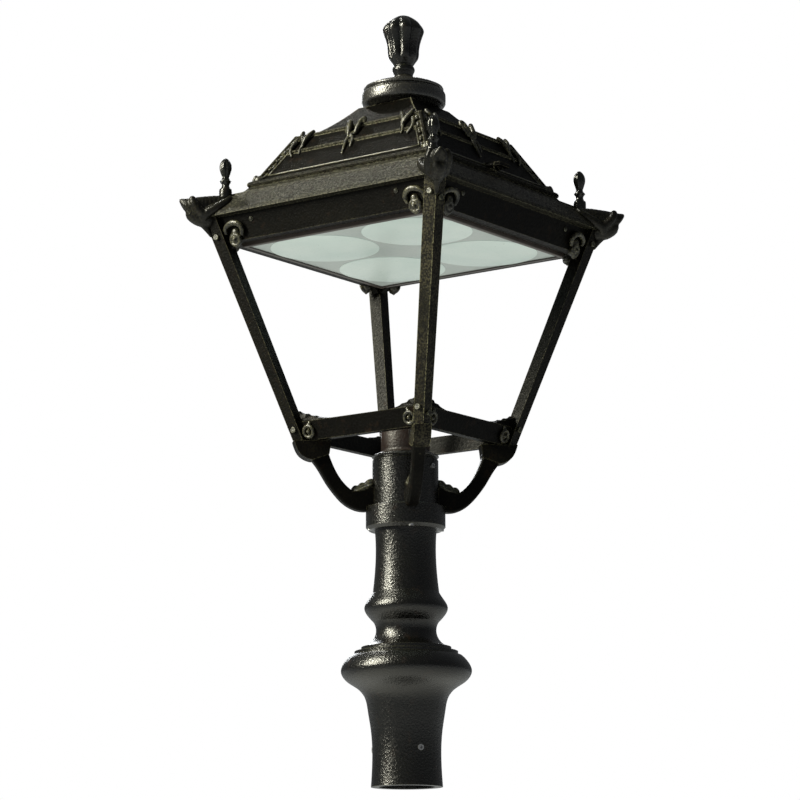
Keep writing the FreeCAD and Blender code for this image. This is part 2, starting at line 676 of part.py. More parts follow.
def lower_frame():
    foot, top = POST_FOOT, LOWER_RAIL_TOP
    outer_foot, outer_top = rail_half(foot), rail_half(top)
    ring = mitred_ring([
        (outer_foot - LOWER_RAIL_WALL, foot), (outer_foot, foot), (outer_top, top),
        (outer_top - LOWER_RAIL_WALL, top),
    ])
    inner = outer_foot - LOWER_RAIL_WALL + 2
    corner = Part.makePolygon([vec(inner, -inner, foot), vec(inner - GUSSET_CUT, -inner, foot),
                               vec(inner, -inner + GUSSET_CUT, foot), vec(inner, -inner, foot)])
    gusset = Part.Face(corner).extrude(vec(0, 0, LOWER_GUSSET))
    frame = joined([ring] + at_sides(gusset))
    bolt_holes = at_corners(foot_bolt(FOOT_BOLT_RADIUS + SCREW_CLEARANCE))
    for hole in bolt_holes + rail_screw_holes():
        frame = frame.cut(hole)
    return frame


def rail_screw_holes():
    holes = [screw_at(place, POST_SCREW_RADIUS) for place in post_screw_places()]
    return [spun(hole, 90 * side) for side in range(4) for hole in holes]


def upper_frame():
    foot, top = UPPER_RAIL_FOOT, UPPER_RAIL_TOP
    ledge = UPPER_RAIL_INNER + UPPER_LEDGE_WIDTH
    frame = mitred_ring([
        (UPPER_RAIL_INNER, foot), (rail_half(foot), foot), (rail_half(top), top), (ledge, top),
        (ledge, top - UPPER_LEDGE_DROP), (UPPER_RAIL_INNER, top - UPPER_LEDGE_DROP),
    ])
    for hole in rail_screw_holes() + at_all(tray_screw_rods(0.0)) + at_all(cornice_screw_rods(0.0)):
        frame = frame.cut(hole)
    return frame


def at_all(shapes):
    """Copies of front shapes on all four sides."""
    return [copy for shape in shapes for copy in at_sides(shape)]


# ---- Ornament on the rails ----
def rosette():
    """Ring rosette with a domed centre, lying on XY."""
    ring = turned([
        ("line", [(0, 0), (ROSETTE_RADIUS, 0), (ROSETTE_RADIUS, 4)]),
        ("smooth", [(ROSETTE_RADIUS, 4), (9.5, 7.5), (7, 4.5)]),
        ("smooth", [(7, 4.5), (4, 7.2), (0, ROSETTE_DEPTH)]),
    ])
    return ring


def lower_rosettes():
    height = POST_FOOT + 14
    half = rail_half(height)
    inset = post_half(height) - POST_LEG_FOOT - ROSETTE_RADIUS - 1.5
    pair = mirrored_pair(on_front(rosette(), inset, half + 0.1, height, RAIL_LEAN))
    return at_all(pair)


def scroll_boss():
    """Scroll bracket with a round boss and a nub, lying on XY, boss centre at 0, 0."""
    boss = turned([
        ("line", [(0, 0), (SCROLL_RADIUS, 0), (SCROLL_RADIUS, 6)]),
        ("smooth", [(SCROLL_RADIUS, 6), (9, 9.5), (6, 7)]),
        ("smooth", [(6, 7), (3.5, 11), (0, SCROLL_DEPTH)]),
    ])
    scroll = Part.makeCylinder(SCROLL_RADIUS + 1, 7, vec(6, 16, 0))
    eye = Part.makeCylinder(5, 9.5, vec(7, 16, 0))
    neck = box((-3, 15), (0, 16), (0, 6.5))
    return joined([boss, scroll, eye, neck])


def scroll_bosses():
    height = UPPER_RAIL_FOOT + 2
    half = rail_half(height)
    inset = post_half(height) - POST_LEG_TOP - SCROLL_RADIUS - 7.5
    pair = mirrored_pair(on_front(scroll_boss(), inset, half + 0.1, height, RAIL_LEAN))
    return at_all(pair)


def rail_screws():
    """Small domed screws in the upper rails."""
    height = UPPER_RAIL_TOP - 12
    half = rail_half(height)
    head = turned([("line", [(0, 0), (4, 0), (4, 1)]), ("smooth", [(4, 1), (2.5, 2.4), (0, 3)])])
    return at_all(mirrored_pair(on_front(head, UPPER_RAIL_INNER - 49, half + 0.1, height, RAIL_LEAN)))


# ---- Cornice ----
def cornice_screw_rods(clearance):
    """Screws up through the front rail into the cornice."""
    radius = CORNICE_SCREW_RADIUS + clearance
    half = UPPER_RAIL_INNER + UPPER_LEDGE_WIDTH + 6
    return [rod(radius, vec(x, -half, UPPER_RAIL_TOP - 14), vec(x, -half, UPPER_RAIL_TOP + 8)) for x in (-90, 90)]


def cornice():
    ring = mitred_ring([
        (CORNICE_INNER, UPPER_RAIL_TOP), (LIP_HALF, UPPER_RAIL_TOP), (LIP_HALF, UPPER_RAIL_TOP + 3),
        (LIP_HALF - 2, UPPER_RAIL_TOP + 7), (BAND_TOP_HALF, BAND_TOP), (BAND_TOP_HALF - 5, BAND_TOP + 1),
        (BAND_TOP_HALF - 7, BAND_TOP + 6), (BAND_TOP_HALF - 20, BAND_TOP + 10),
        (LEDGE_OUTER + 8, CORNICE_TOP - 5), (LEDGE_OUTER + 4, CORNICE_TOP), (LEDGE_INNER, CORNICE_TOP),
        (LEDGE_INNER, CORNICE_TOP - LEDGE_THICKNESS), (CORNICE_INNER - 12, BAND_TOP - 2),
        (CORNICE_INNER, BAND_TOP - 12),
    ])
    for hole in at_all(cornice_screw_rods(0.0)) + at_corners(finial_pin(0.0)):
        ring = ring.cut(hole)
    return ring


def finial_pin(clearance):
    return Part.makeCylinder(FINIAL_PIN_RADIUS + clearance, 22, vec(FINIAL_REACH, 0, FINIAL_FOOT - 20))


def corner_finial():
    """Small bud finial with a neck and a ring at its foot."""
    k = FINIAL_HEIGHT / 61
    r = FINIAL_RADIUS / 10.5
    bud = turned([
        ("line", [(0, 0), (10.5 * r, 0), (10.5 * r, 3 * k)]),
        ("smooth", [(10.5 * r, 3 * k), (7 * r, 7 * k), (6 * r, 12 * k), (7.5 * r, 16 * k)]),
        ("smooth", [(7.5 * r, 16 * k), (9.5 * r, 18.5 * k), (7 * r, 21 * k)]),
        ("smooth", [(7 * r, 21 * k), (5.5 * r, 25 * k), (7 * r, 30 * k), (9.3 * r, 38 * k), (9.8 * r, 46 * k),
                    (7.5 * r, 54 * k), (0, 61 * k)]),
    ])
    bud.translate(vec(FINIAL_REACH, 0, FINIAL_FOOT))
    return joined([bud, finial_pin(-SCREW_CLEARANCE)])


def corner_leaf(blockers):
    """Upturned leaf that wraps the corner of the cornice and curls out at its tip."""
    tip = CORNER_LEAF_REACH
    lip = UPPER_RAIL_TOP
    foot_reach = FINIAL_REACH + FINIAL_RADIUS + 0.5
    heel_reach = FINIAL_REACH - FINIAL_RADIUS - 0.5
    back = FINIAL_REACH - 30.4
    root = FINIAL_REACH + 9.6
    leaf = corner_slab([
        ("line", [(back, lip + 30), (back, FINIAL_FOOT + 7), (heel_reach, FINIAL_FOOT), (foot_reach, FINIAL_FOOT)]),
        ("smooth", [(foot_reach, FINIAL_FOOT), (foot_reach + 8.6, lip + 37), (tip - 40, lip + 32),
                    (tip - 18, lip + 35), (tip - 6, lip + 35), (tip, lip + 30)]),
        ("smooth", [(tip, lip + 30), (tip - 7, lip + 15), (tip - 16, lip - 1), (tip - 28, lip - 11),
                    (tip - 38, lip - 16)]),
        ("line", [(tip - 38, lip - 16), (root, lip - 16), (root, lip)]),
    ], CORNER_LEAF_HALF_THICKNESS)
    tail = corner_slab([("smooth", [(tip - 38, lip - 16), (tip - 45, lip - 25), (tip - 52, lip - 37)]),
                        ("line", [(tip - 52, lip - 37), (root, lip - 37), (root, lip - 5), (tip - 38, lip - 5)])], 4)
    leaf = joined([leaf, tail]).cut(finial_pin(0.0))
    for blocker in blockers:
        leaf = leaf.cut(blocker)
    return largest(leaf)


# ---- Roof ----
def roof_shell():
    """Cast roof: base bead, steep slope, frieze band and a concave upper part."""
    rise = 90 + ROOF_LEAN
    bead = arc_points((ROOF_HALF, ROOF_FOOT + 0.75 * BASE_BEAD), BASE_BEAD, -48, 142, 8)
    frieze = arc_points((roof_half(FRIEZE_FOOT), FRIEZE_FOOT), FRIEZE_BEAD, rise - 180, rise, 6)
    edge = arc_points((BREAK_HALF, BREAK_HEIGHT), FRIEZE_BEAD, rise - 180, 160, 7)
    outer_break = (BREAK_HALF - 2, BREAK_HEIGHT + 0.6)
    upper = bezier(outer_break, (BREAK_HALF - 30, BREAK_HEIGHT + 7), (ROOF_TOP_HALF, ROOF_TOP), 8)
    inner_top = (ROOF_TOP_HALF - 3, ROOF_TOP - ROOF_WALL)
    inner_break = (BREAK_HALF - 4, BREAK_HEIGHT - ROOF_WALL)
    inner_upper = bezier(inner_top, (BREAK_HALF - 32, BREAK_HEIGHT + 7 - ROOF_WALL), inner_break, 6)
    outline = [(ROOF_HALF - 9, ROOF_FOOT), (ROOF_HALF, ROOF_FOOT)] + bead + frieze + edge + upper[1:]
    outline += [(ROOF_HOLE_HALF, ROOF_TOP), (ROOF_HOLE_HALF, ROOF_TOP - ROOF_WALL)] + inner_upper
    outline += [(ROOF_HALF - 9, ROOF_FOOT + 8)]
    shell = mitred_ring(outline)
    low = vec(roof_half(ROOF_FOOT + 8) * math.sqrt(2), 0, ROOF_FOOT + 8)
    high = vec(BREAK_HALF * math.sqrt(2), 0, BREAK_HEIGHT)
    ridges = at_corners(joined([rod(RIDGE_BEAD, low, high), Part.makeSphere(RIDGE_BEAD, high)]))
    boss = rod(LATCH_BOSS_RADIUS, vec(LATCH_BOSS_INNER, 0, LATCH_HEIGHT), vec(LATCH_BOSS_OUTER, 0, LATCH_HEIGHT))
    bore = rod(LATCH_SHAFT_RADIUS + RUNNING_CLEARANCE, vec(LATCH_BOSS_INNER - 5, 0, LATCH_HEIGHT),
               vec(LATCH_BOSS_OUTER + 5, 0, LATCH_HEIGHT))
    return joined([shell] + ridges + [boss]).cut(bore)


def leaf_relief(length, width):
    """Low-relief lobed leaf lying on XY, stem at 0, 0 and tip down along -Y."""
    half = width / 2
    right = [(0, 0), (half * 0.55, -length * 0.05), (half, -length * 0.2), (half * 0.6, -length * 0.34),
             (half * 0.8, -length * 0.5), (half * 0.4, -length * 0.62), (half * 0.35, -length * 0.8), (0, -length)]
    left = [(-x, y) for x, y in reversed(right[1:-1])]
    loop = [vec(x, y, 0) for x, y in right + left]
    return Part.Face(Part.makePolygon(loop + loop[:1])).extrude(vec(0, 0, LEAF_THICKNESS))


def roof_leaves():
    """A long leaf at the middle and a short one at each end of every frieze."""
    start = BREAK_HEIGHT + 2
    lift = FRIEZE_BEAD + 0.2
    middle = leaf_relief(70, 26)
    middle.translate(vec(0, 0, lift))
    end = leaf_relief(50, 30)
    end.translate(vec(0, 0, lift))
    half = roof_half(start)
    front = [on_front(middle, 0, half, start, ROOF_LEAN)]
    front += mirrored_pair(on_front(end, BREAK_HALF - 24, half, start, ROOF_LEAN))
    return at_all(front)


def roof_cap():
    bore = STUD_RADIUS + 0.2
    base = ROOF_TOP
    return turned([
        ("line", [(46, base), (56, base), (62, base + 5)]),
        ("smooth", [(62, base + 5), (67.9, base + 12), (CAP_RADIUS, base + 21), (67.9, base + 31)]),
        ("line", [(67.9, base + 31), (64, base + 32), (62.5, base + 37)]),
        ("smooth", [(62.5, base + 37), (50, base + 43.5), (28, base + 51), (16, CAP_TOP)]),
        ("line", [(16, CAP_TOP), (bore, CAP_TOP), (bore, base + 46), (24, base + 46), (48, base + 37),
                  (58, base + 30), (58, base + 14), (46, base + 6)]),
    ])


def crown_finial():
    """Tulip bud on a ringed stem."""
    k = CROWN_HEIGHT / 107
    r = CROWN_RADIUS / 34.9
    stem = [("line", [(0, 0), (15.1, 0)]),
            ("smooth", [(15.1, 0), (17.5, 7), (19, 11), (17.8, 16)]),
            ("line", [(17.8, 16), (18, 20), (20.5, 25)]),
            ("smooth", [(20.5, 25), (25.6, 34), (26.1, 46), (28.5, 58), (33.2, 72), (34.9, 79), (33, 86),
                        (25.5, 94), (15, 101), (0, 107)])]
    bud = turned([(kind, [(x * r, z * k) for x, z in points]) for kind, points in stem])
    bud.translate(vec(0, 0, CAP_TOP))
    return bud.cut(Part.makeCylinder(STUD_RADIUS + SCREW_CLEARANCE, 32, vec(0, 0, CAP_TOP - 1)))


def finial_stud():
    return rod(STUD_RADIUS, vec(0, 0, WASHER_TOP - 20), vec(0, 0, CAP_TOP + 28))


def finial_nut():
    """Square washer under the roof's crown and the nut that draws the finial down."""
    washer = square_plate(ROOF_HOLE_HALF + 10, WASHER_TOP - 4, WASHER_TOP)
    nut = hex_prism(11, 9, WASHER_TOP - 13)
    hole = Part.makeCylinder(STUD_RADIUS + SCREW_CLEARANCE, 60, vec(0, 0, WASHER_TOP - 30))
    return joined([washer, nut]).cut(hole)


# ---- Hinges, at the back of the latch, on the left side ----
def hinge_places():
    return (-HINGE_SPACING / 2, HINGE_SPACING / 2)


def hinge_rod(radius, low, high):
    """Rod on the hinge's axis from one y to another."""
    return rod(radius, vec(-HINGE_HALF, low, HINGE_HEIGHT), vec(-HINGE_HALF, high, HINGE_HEIGHT))


def hinge_brackets(seat):
    """Two lugs either side of each moving knuckle, seated on the cornice."""
    brackets = []
    offset = MOVING_KNUCKLE / 2 + SIDE_PLAY
    for y in hinge_places():
        for low in (y - offset - FIXED_KNUCKLE, y + offset):
            high = low + FIXED_KNUCKLE
            lug = box((-HINGE_HALF - 7, -HINGE_HALF + 6), (low, high), (CORNICE_TOP - 16, HINGE_HEIGHT))
            lug = joined([lug, hinge_rod(HINGE_KNUCKLE_RADIUS, low, high)])
            lug = lug.cut(hinge_rod(HINGE_PIN_RADIUS, low - 1, high + 1))
            brackets.append(largest(lug.cut(seat)))
    return brackets


def hinge_pins():
    pins = []
    reach = MOVING_KNUCKLE / 2 + SIDE_PLAY + FIXED_KNUCKLE
    for y in hinge_places():
        shaft = hinge_rod(HINGE_PIN_RADIUS, y - reach, y + reach)
        head = hinge_rod(HINGE_PIN_RADIUS + 1.5, y + reach, y + reach + 2.5)
        pins.append(joined([shaft, head]))
    return pins


def hinge_straps(roof):
    """Moving knuckles with the straps that hold them to the roof's slope."""
    straps = []
    for y in hinge_places():
        low, high = y - MOVING_KNUCKLE / 2, y + MOVING_KNUCKLE / 2
        web = box((-HINGE_HALF, -ROOF_HALF + 6), (low, high), (HINGE_HEIGHT - 2.5, HINGE_HEIGHT + 4.5))
        foot = HINGE_HEIGHT - 1
        leaf = box((-MOVING_KNUCKLE / 2, MOVING_KNUCKLE / 2), (0, 34), (-1, 3.5))
        leaf = spun(on_front(leaf, 0, roof_half(foot), foot, ROOF_LEAN), -90)
        leaf.translate(vec(0, y, 0))
        strap = joined([hinge_rod(HINGE_KNUCKLE_RADIUS, low, high), web, leaf])
        strap = strap.cut(hinge_rod(HINGE_PIN_RADIUS + RUNNING_CLEARANCE, low - 1, high + 1))
        straps.append(largest(strap.cut(roof)))
    return straps


# ---- Quarter-turn latch on the right side ----
def latch_handle():
    """Wing handle and the shaft that carries the cam."""
    start = LATCH_BOSS_INNER - LATCH_CAM_THICKNESS - ROOF_GAP - 3
    shaft = rod(LATCH_SHAFT_RADIUS, vec(start, 0, LATCH_HEIGHT), vec(LATCH_BOSS_OUTER + 1, 0, LATCH_HEIGHT))
    flange = rod(LATCH_BOSS_RADIUS - 1, vec(LATCH_BOSS_OUTER + ROOF_GAP, 0, LATCH_HEIGHT),
                 vec(LATCH_BOSS_OUTER + 6, 0, LATCH_HEIGHT))
    wing = box((LATCH_BOSS_OUTER + 5, LATCH_BOSS_OUTER + 15), (-14, 14), (LATCH_HEIGHT - 3, LATCH_HEIGHT + 3))
    return joined([shaft, flange, wing])


def latch_cam():
    """Cam on the latch's shaft, hanging down when the latch is released."""
    outer = LATCH_BOSS_INNER - ROOF_GAP
    inner = outer - LATCH_CAM_THICKNESS
    hub = rod(LATCH_BOSS_RADIUS, vec(inner, 0, LATCH_HEIGHT), vec(outer, 0, LATCH_HEIGHT))
    half = LATCH_CAM_WIDTH / 2
    arm = box((inner, outer), (-half, half), (LATCH_HEIGHT - LATCH_CAM_LENGTH, LATCH_HEIGHT))
    hole = rod(LATCH_SHAFT_RADIUS, vec(inner - 1, 0, LATCH_HEIGHT), vec(outer + 1, 0, LATCH_HEIGHT))
    return joined([hub, arm]).cut(hole)


def latch_keeper():
    """Bracket inside the cornice whose lip the turned cam lies under."""
    outer = LATCH_BOSS_INNER - ROOF_GAP
    inner = outer - LATCH_CAM_THICKNESS
    lip_foot = LATCH_HEIGHT + LATCH_CAM_WIDTH / 2 + 0.5
    post_near = LATCH_CAM_LENGTH + 3
    post_far = post_near + KEEPER_THICKNESS
    lip = box((inner, outer), (LATCH_BOSS_RADIUS + 0.5, post_far), (lip_foot, lip_foot + KEEPER_THICKNESS))
    post = box((inner, LEDGE_INNER - 5), (post_near, post_far), (CORNICE_TOP - 9, lip_foot + KEEPER_THICKNESS))
    foot = box((LEDGE_INNER - 5 - KEEPER_THICKNESS, LEDGE_INNER), (post_near, post_far + 16),
               (CORNICE_TOP - 9, CORNICE_TOP - 1))
    return joined([lip, post, foot])


def roof_gasket():
    return mitred_ring([(LEDGE_INNER + 1, CORNICE_TOP), (LEDGE_INNER + 5, CORNICE_TOP),
                        (LEDGE_INNER + 5, CORNICE_TOP + 2.5), (LEDGE_INNER + 1, CORNICE_TOP + 2.5)])


# ---- Light panel ----
def optic_tray():
    wall = PANEL_HALF - 1
    under = TRAY_TOP - TRAY_LID
    tray = mitred_ring([
        (wall - TRAY_SHEET, TRAY_WALL_FOOT), (wall, TRAY_WALL_FOOT), (wall, under),
        (TRAY_FLANGE_HALF, under), (TRAY_FLANGE_HALF, TRAY_TOP), (wall - TRAY_SHEET, TRAY_TOP),
    ])
    lid = square_plate(wall - 1, under, TRAY_TOP)
    whole = joined([tray, lid])
    for hole in at_all(tray_screw_rods(0.0)) + standoff_pins(0.0):
        whole = whole.cut(hole)
    return whole


def tray_screw_rods(clearance):
    half = UPPER_RAIL_INNER + 4
    return [rod(2 + clearance, vec(x, -half, TRAY_TOP - 12), vec(x, -half, TRAY_TOP)) for x in (-120, 120)]


def tray_screws():
    screws = []
    for shank in tray_screw_rods(0):
        foot = shank.BoundBox.Center
        head = Part.makeCylinder(3.5, 2.5, vec(foot.x, foot.y, TRAY_TOP))
        screws.append(joined([shank, head]))
    return at_all(screws)


def panel_frame():
    return mitred_ring([
        (PANEL_HALF - PANEL_RIM, PANEL_FOOT), (PANEL_HALF - 1, PANEL_FOOT), (PANEL_HALF, PANEL_FOOT + 1),
        (PANEL_HALF, TRAY_WALL_FOOT), (PANEL_HALF - 4, TRAY_WALL_FOOT), (PANEL_HALF - 4, DIFFUSER_FOOT),
        (PANEL_HALF - PANEL_RIM, DIFFUSER_FOOT),
    ])


def diffuser_panel():
    return square_plate(PANEL_HALF - 4.2, DIFFUSER_FOOT, DIFFUSER_FOOT + DIFFUSER_THICKNESS)


def lens_dome():
    return turned([
        ("smooth", [(0, DIFFUSER_FOOT - DOME_DEPTH), (DOME_RADIUS * 0.6, DIFFUSER_FOOT - DOME_DEPTH * 0.65),
                    (DOME_RADIUS, DIFFUSER_FOOT - 0.8)]),
        ("line", [(DOME_RADIUS, DIFFUSER_FOOT - 0.8), (DOME_RADIUS, DIFFUSER_FOOT), (0, DIFFUSER_FOOT)]),
    ])


def quarter_centres():
    """Centre of each quarter of the panel, by corner name."""
    half = DOME_SPACING / 2
    return {"front_right": (half, -half), "back_right": (half, half),
            "back_left": (-half, half), "front_left": (-half, -half)}


def led_boards():
    top = TRAY_TOP - TRAY_LID
    side = BOARD_SIDE / 2
    return [box((x - side, x + side), (y - side, y + side), (top - BOARD_THICKNESS, top))
            for x, y in quarter_centres().values()]


def led_chips():
    top = TRAY_TOP - TRAY_LID - BOARD_THICKNESS
    half = CHIP_SIDE / 2
    chips = []
    for x, y in quarter_centres().values():
        for column in (-1, 0, 1):
            for row in (-1, 0, 1):
                cx = x + column * CHIP_PITCH
                cy = y + row * CHIP_PITCH
                chips.append(box((cx - half, cx + half), (cy - half, cy + half), (top - 1.5, top)))
    return chips


# ---- Gear tray ----
def standoff_places():
    return [(x, y) for x in (-STANDOFF_REACH, STANDOFF_REACH) for y in (-STANDOFF_REACH, STANDOFF_REACH)]


def standoff_pins(clearance):
    return [Part.makeCylinder(2 + clearance, TRAY_LID, vec(x, y, TRAY_TOP - TRAY_LID)) for x, y in standoff_places()]


def tray_standoffs():
    legs = []
    for x, y in standoff_places():
        leg = Part.makeCylinder(6, GEAR_HEIGHT - TRAY_TOP, vec(x, y, TRAY_TOP))
        stud = Part.makeCylinder(2, TRAY_SHEET + 3, vec(x, y, GEAR_HEIGHT))
        nut = Part.makeCylinder(4, 3, vec(x, y, GEAR_HEIGHT + TRAY_SHEET))
        legs.append(joined([leg, stud, nut]))
    return legs + standoff_pins(0)


def gear_tray():
    tray = square_plate(GEAR_HALF, GEAR_HEIGHT, GEAR_HEIGHT + TRAY_SHEET)
    for x, y in standoff_places():
        tray = tray.cut(Part.makeCylinder(2, 10, vec(x, y, GEAR_HEIGHT - 4)))
    return tray


def gear_block(size, centre, rounding):
    length, width, height = size
    x, y = centre
    foot = GEAR_HEIGHT + TRAY_SHEET
    block = box((x - length / 2, x + length / 2), (y - width / 2, y + width / 2), (foot, foot + height))
    upright = [edge for edge in block.Edges if edge.BoundBox.ZLength > height / 2]
    return block.makeFillet(rounding, upright)


def led_driver():
    return gear_block(DRIVER_SIZE, (0, 30), 4)


def surge_protector():
    return gear_block(SURGE_SIZE, (55, -60), 3)


def terminal_block():
    """Three-way terminal block with its screw wells."""
    block = gear_block(TERMINAL_SIZE, (-45, -60), 1.5)
    top = GEAR_HEIGHT + TRAY_SHEET + TERMINAL_SIZE[2]
    for step in (-1, 0, 1):
        x = -45 + step * TERMINAL_SIZE[0] * 0.3
        block = block.cut(Part.makeCylinder(3, 6, vec(x, -64, top - 5)))
        block = block.cut(Part.makeCylinder(3, 6, vec(x, -56, top - 5)))
    return block


# ---- Build ----
save("column_top", column_top())
save("column_set_screws", column_set_screws())
save("spigot_tube", spigot_tube())
save("collar_ring", collar_ring())
save("collar_screws", collar_screws())
save("hub_socket", hub_socket())
save("hub_set_screws", hub_set_screws())
save("hub_cap", hub_cap())
save("cable_gland", cable_gland())

arm_shape = cradle_arm()
post_shape = corner_post()
for corner, turn in CORNERS.items():
    save("arm_" + corner, spun(arm_shape, turn))
    save("corner_post_" + corner, spun(post_shape, turn - CORNERS["front_right"]))
save("arm_leaves", at_corners(arm_leaf()))
save("foot_bolts", at_corners(foot_bolt_with_head()))
save("post_screws", post_screws())

save("lower_frame", lower_frame())
save("lower_rosettes", lower_rosettes())
save("upper_frame", upper_frame())
save("scroll_bosses", scroll_bosses())
save("rail_screws", rail_screws())

cornice_shape = cornice()
post_corner = Part.makeLoft([square_section(UPPER_RAIL_FOOT - 3, 40), square_section(UPPER_RAIL_TOP, 40)], True, True)
post_corner = spun(post_corner, -CORNERS["front_right"])
save("cornice", cornice_shape)
save("cornice_screws", at_all(cornice_screw_rods(0)))
save("corner_finials", at_corners(corner_finial()))
save("corner_leaves", at_corners(corner_leaf([spun(cornice_shape, 45), post_corner])))

roof_shape = roof_shell()
save("roof_shell", roof_shape)
save("roof_leaves", roof_leaves())
save("roof_cap", roof_cap())
save("crown_finial", crown_finial())
save("finial_stud", finial_stud())
save("finial_nut", finial_nut())
save("roof_gasket", roof_gasket())

save("hinge_brackets", hinge_brackets(cornice_shape))
save("hinge_pins", hinge_pins())
save("hinge_straps", hinge_straps(roof_shape))
save("latch_handle", latch_handle())
save("latch_cam", latch_cam())
save("latch_keeper", latch_keeper())

save("optic_tray", optic_tray())
save("tray_screws", tray_screws())
save("panel_frame", panel_frame())
save("diffuser_panel", diffuser_panel())
for corner, (dome_x, dome_y) in quarter_centres().items():
    dome = lens_dome()
    dome.translate(vec(dome_x, dome_y, 0))
    save("lens_dome_" + corner, dome)
save("led_boards", led_boards())
save("led_chips", led_chips())

save("tray_standoffs", tray_standoffs())
save("gear_tray", gear_tray())
save("led_driver", led_driver())
save("surge_protector", surge_protector())
save("terminal_block", terminal_block())
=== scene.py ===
import json
import math

import bmesh
import bpy
from mathutils import Matrix, Vector


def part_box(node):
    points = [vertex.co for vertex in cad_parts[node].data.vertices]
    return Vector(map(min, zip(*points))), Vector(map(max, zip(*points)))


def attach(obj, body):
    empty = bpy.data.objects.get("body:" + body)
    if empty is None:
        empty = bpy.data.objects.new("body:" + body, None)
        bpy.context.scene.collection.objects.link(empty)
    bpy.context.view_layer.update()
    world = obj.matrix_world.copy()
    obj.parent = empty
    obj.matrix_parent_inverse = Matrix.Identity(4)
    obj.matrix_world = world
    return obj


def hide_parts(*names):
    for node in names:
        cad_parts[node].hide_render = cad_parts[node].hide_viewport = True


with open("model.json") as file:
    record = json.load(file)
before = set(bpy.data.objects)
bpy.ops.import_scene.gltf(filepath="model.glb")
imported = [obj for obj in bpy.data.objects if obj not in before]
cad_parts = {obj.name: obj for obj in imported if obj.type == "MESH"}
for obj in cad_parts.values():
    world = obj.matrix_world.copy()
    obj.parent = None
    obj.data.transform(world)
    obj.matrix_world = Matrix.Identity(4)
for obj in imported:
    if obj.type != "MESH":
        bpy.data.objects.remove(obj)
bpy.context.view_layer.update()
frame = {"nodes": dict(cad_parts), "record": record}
nodes = frame["nodes"]

MM = 0.001
DIAGONAL = math.sqrt(2)
CORNERS = {"front_right": -45, "back_right": 45, "back_left": 135, "front_left": 225}

# Offsets inside single nodes, in millimetres, which the nodes' boxes don't give
BAND_FOOT_RISE = 7
BAND_TOP_RISE = 36
BAND_INSET = 28
RAIL_INSET = 10.0
POST_LEG = 20.0
UPPER_POST_LEG = 24
ROOF_INSET = 60
BREAK_INSET = 52
BREAK_DROP = 56
HUB_EASE = 1
ARM_ROOT_RISE = 31


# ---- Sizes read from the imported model, in millimetres ----
def low(node):
    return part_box(node)[0] / MM


def high(node):
    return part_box(node)[1] / MM


LIP_HALF = high("cornice").x
RAIL_TOP = low("cornice").z
CORNICE_TOP = high("cornice").z
BAND_FOOT = RAIL_TOP + BAND_FOOT_RISE
BAND_TOP = RAIL_TOP + BAND_TOP_RISE
BAND_TOP_HALF = LIP_HALF - BAND_INSET
RAIL_FOOT = low("upper_frame").z
POST_TOP_HALF = high("corner_post_front_right").x
POST_FOOT = low("lower_frame").z
LOWER_RAIL_TOP = high("lower_frame").z
LOWER_POST_HALF = high("lower_frame").x + RAIL_INSET
POST_SLOPE = (POST_TOP_HALF - LOWER_POST_HALF) / (RAIL_TOP - LOWER_RAIL_TOP)
RAIL_LEAN = -math.atan(POST_SLOPE)
ROOF_FOOT = low("roof_shell").z
ROOF_TOP = high("roof_shell").z
ROOF_HALF = LIP_HALF - ROOF_INSET
BREAK_HALF = ROOF_HALF - BREAK_INSET
BREAK_HEIGHT = ROOF_TOP - BREAK_DROP
ROOF_SLOPE = (ROOF_HALF - BREAK_HALF) / (BREAK_HEIGHT - ROOF_FOOT)
ROOF_LEAN = math.atan(ROOF_SLOPE)
HUB_RADIUS = low("hub_socket").x * -1 - HUB_EASE
ARM_ROOT_TOP = low("hub_socket").z + ARM_ROOT_RISE


def post_half(height):
    """Half the distance between two posts' outer faces at a height."""
    return LOWER_POST_HALF + POST_SLOPE * (height - LOWER_RAIL_TOP)


def rail_half(height):
    """Distance of the rails' outer faces from the middle at a height."""
    return post_half(height) - RAIL_INSET


def roof_half(height):
    """Half side of the steep roof slope at a height."""
    return ROOF_HALF - ROOF_SLOPE * (height - ROOF_FOOT)


def clamped(share):
    return min(max(share, 0), 1)


def band_half(height):
    """Half side of the cornice's outline at a height."""
    share = clamped((height - BAND_FOOT) / (BAND_TOP - BAND_FOOT))
    return LIP_HALF - share * (LIP_HALF - BAND_TOP_HALF)


# ---- Mesh helpers: shapes are lists of (vertices, faces) in millimetres ----
def transformed(shape, matrix):
    return [matrix @ Vector(v) for v in shape[0]], shape[1]


def merged(shapes):
    verts, faces = [], []
    for shape_verts, shape_faces in shapes:
        start = len(verts)
        verts.extend(shape_verts)
        faces.extend([tuple(start + i for i in face) for face in shape_faces])
    return verts, faces


def make_object(name, shape):
    mesh = bpy.data.meshes.new(name)
    mesh.from_pydata([Vector(v) * MM for v in shape[0]], [], shape[1])
    mesh.update()
    bm = bmesh.new()
    bm.from_mesh(mesh)
    bmesh.ops.recalc_face_normals(bm, faces=bm.faces)
    bm.to_mesh(mesh)
    bm.free()
    for polygon in mesh.polygons:
        polygon.use_smooth = True
    obj = bpy.data.objects.new(name, mesh)
    bpy.context.scene.collection.objects.link(obj)
    return obj


def turned(shape, angles):
    return merged([transformed(shape, Matrix.Rotation(math.radians(a), 4, "Z")) for a in angles])


def around_corners(shape):
    """Four copies of a shape drawn in the plane of +X, one at each corner."""
    return turned(shape, CORNERS.values())


def around_sides(shape):
    """Four copies of a shape drawn on the front, one on each side."""
    return turned(shape, (0, 90, 180, 270))


def mirror_x(shape):
    return [(-v[0], v[1], v[2]) for v in shape[0]], [tuple(reversed(f)) for f in shape[1]]


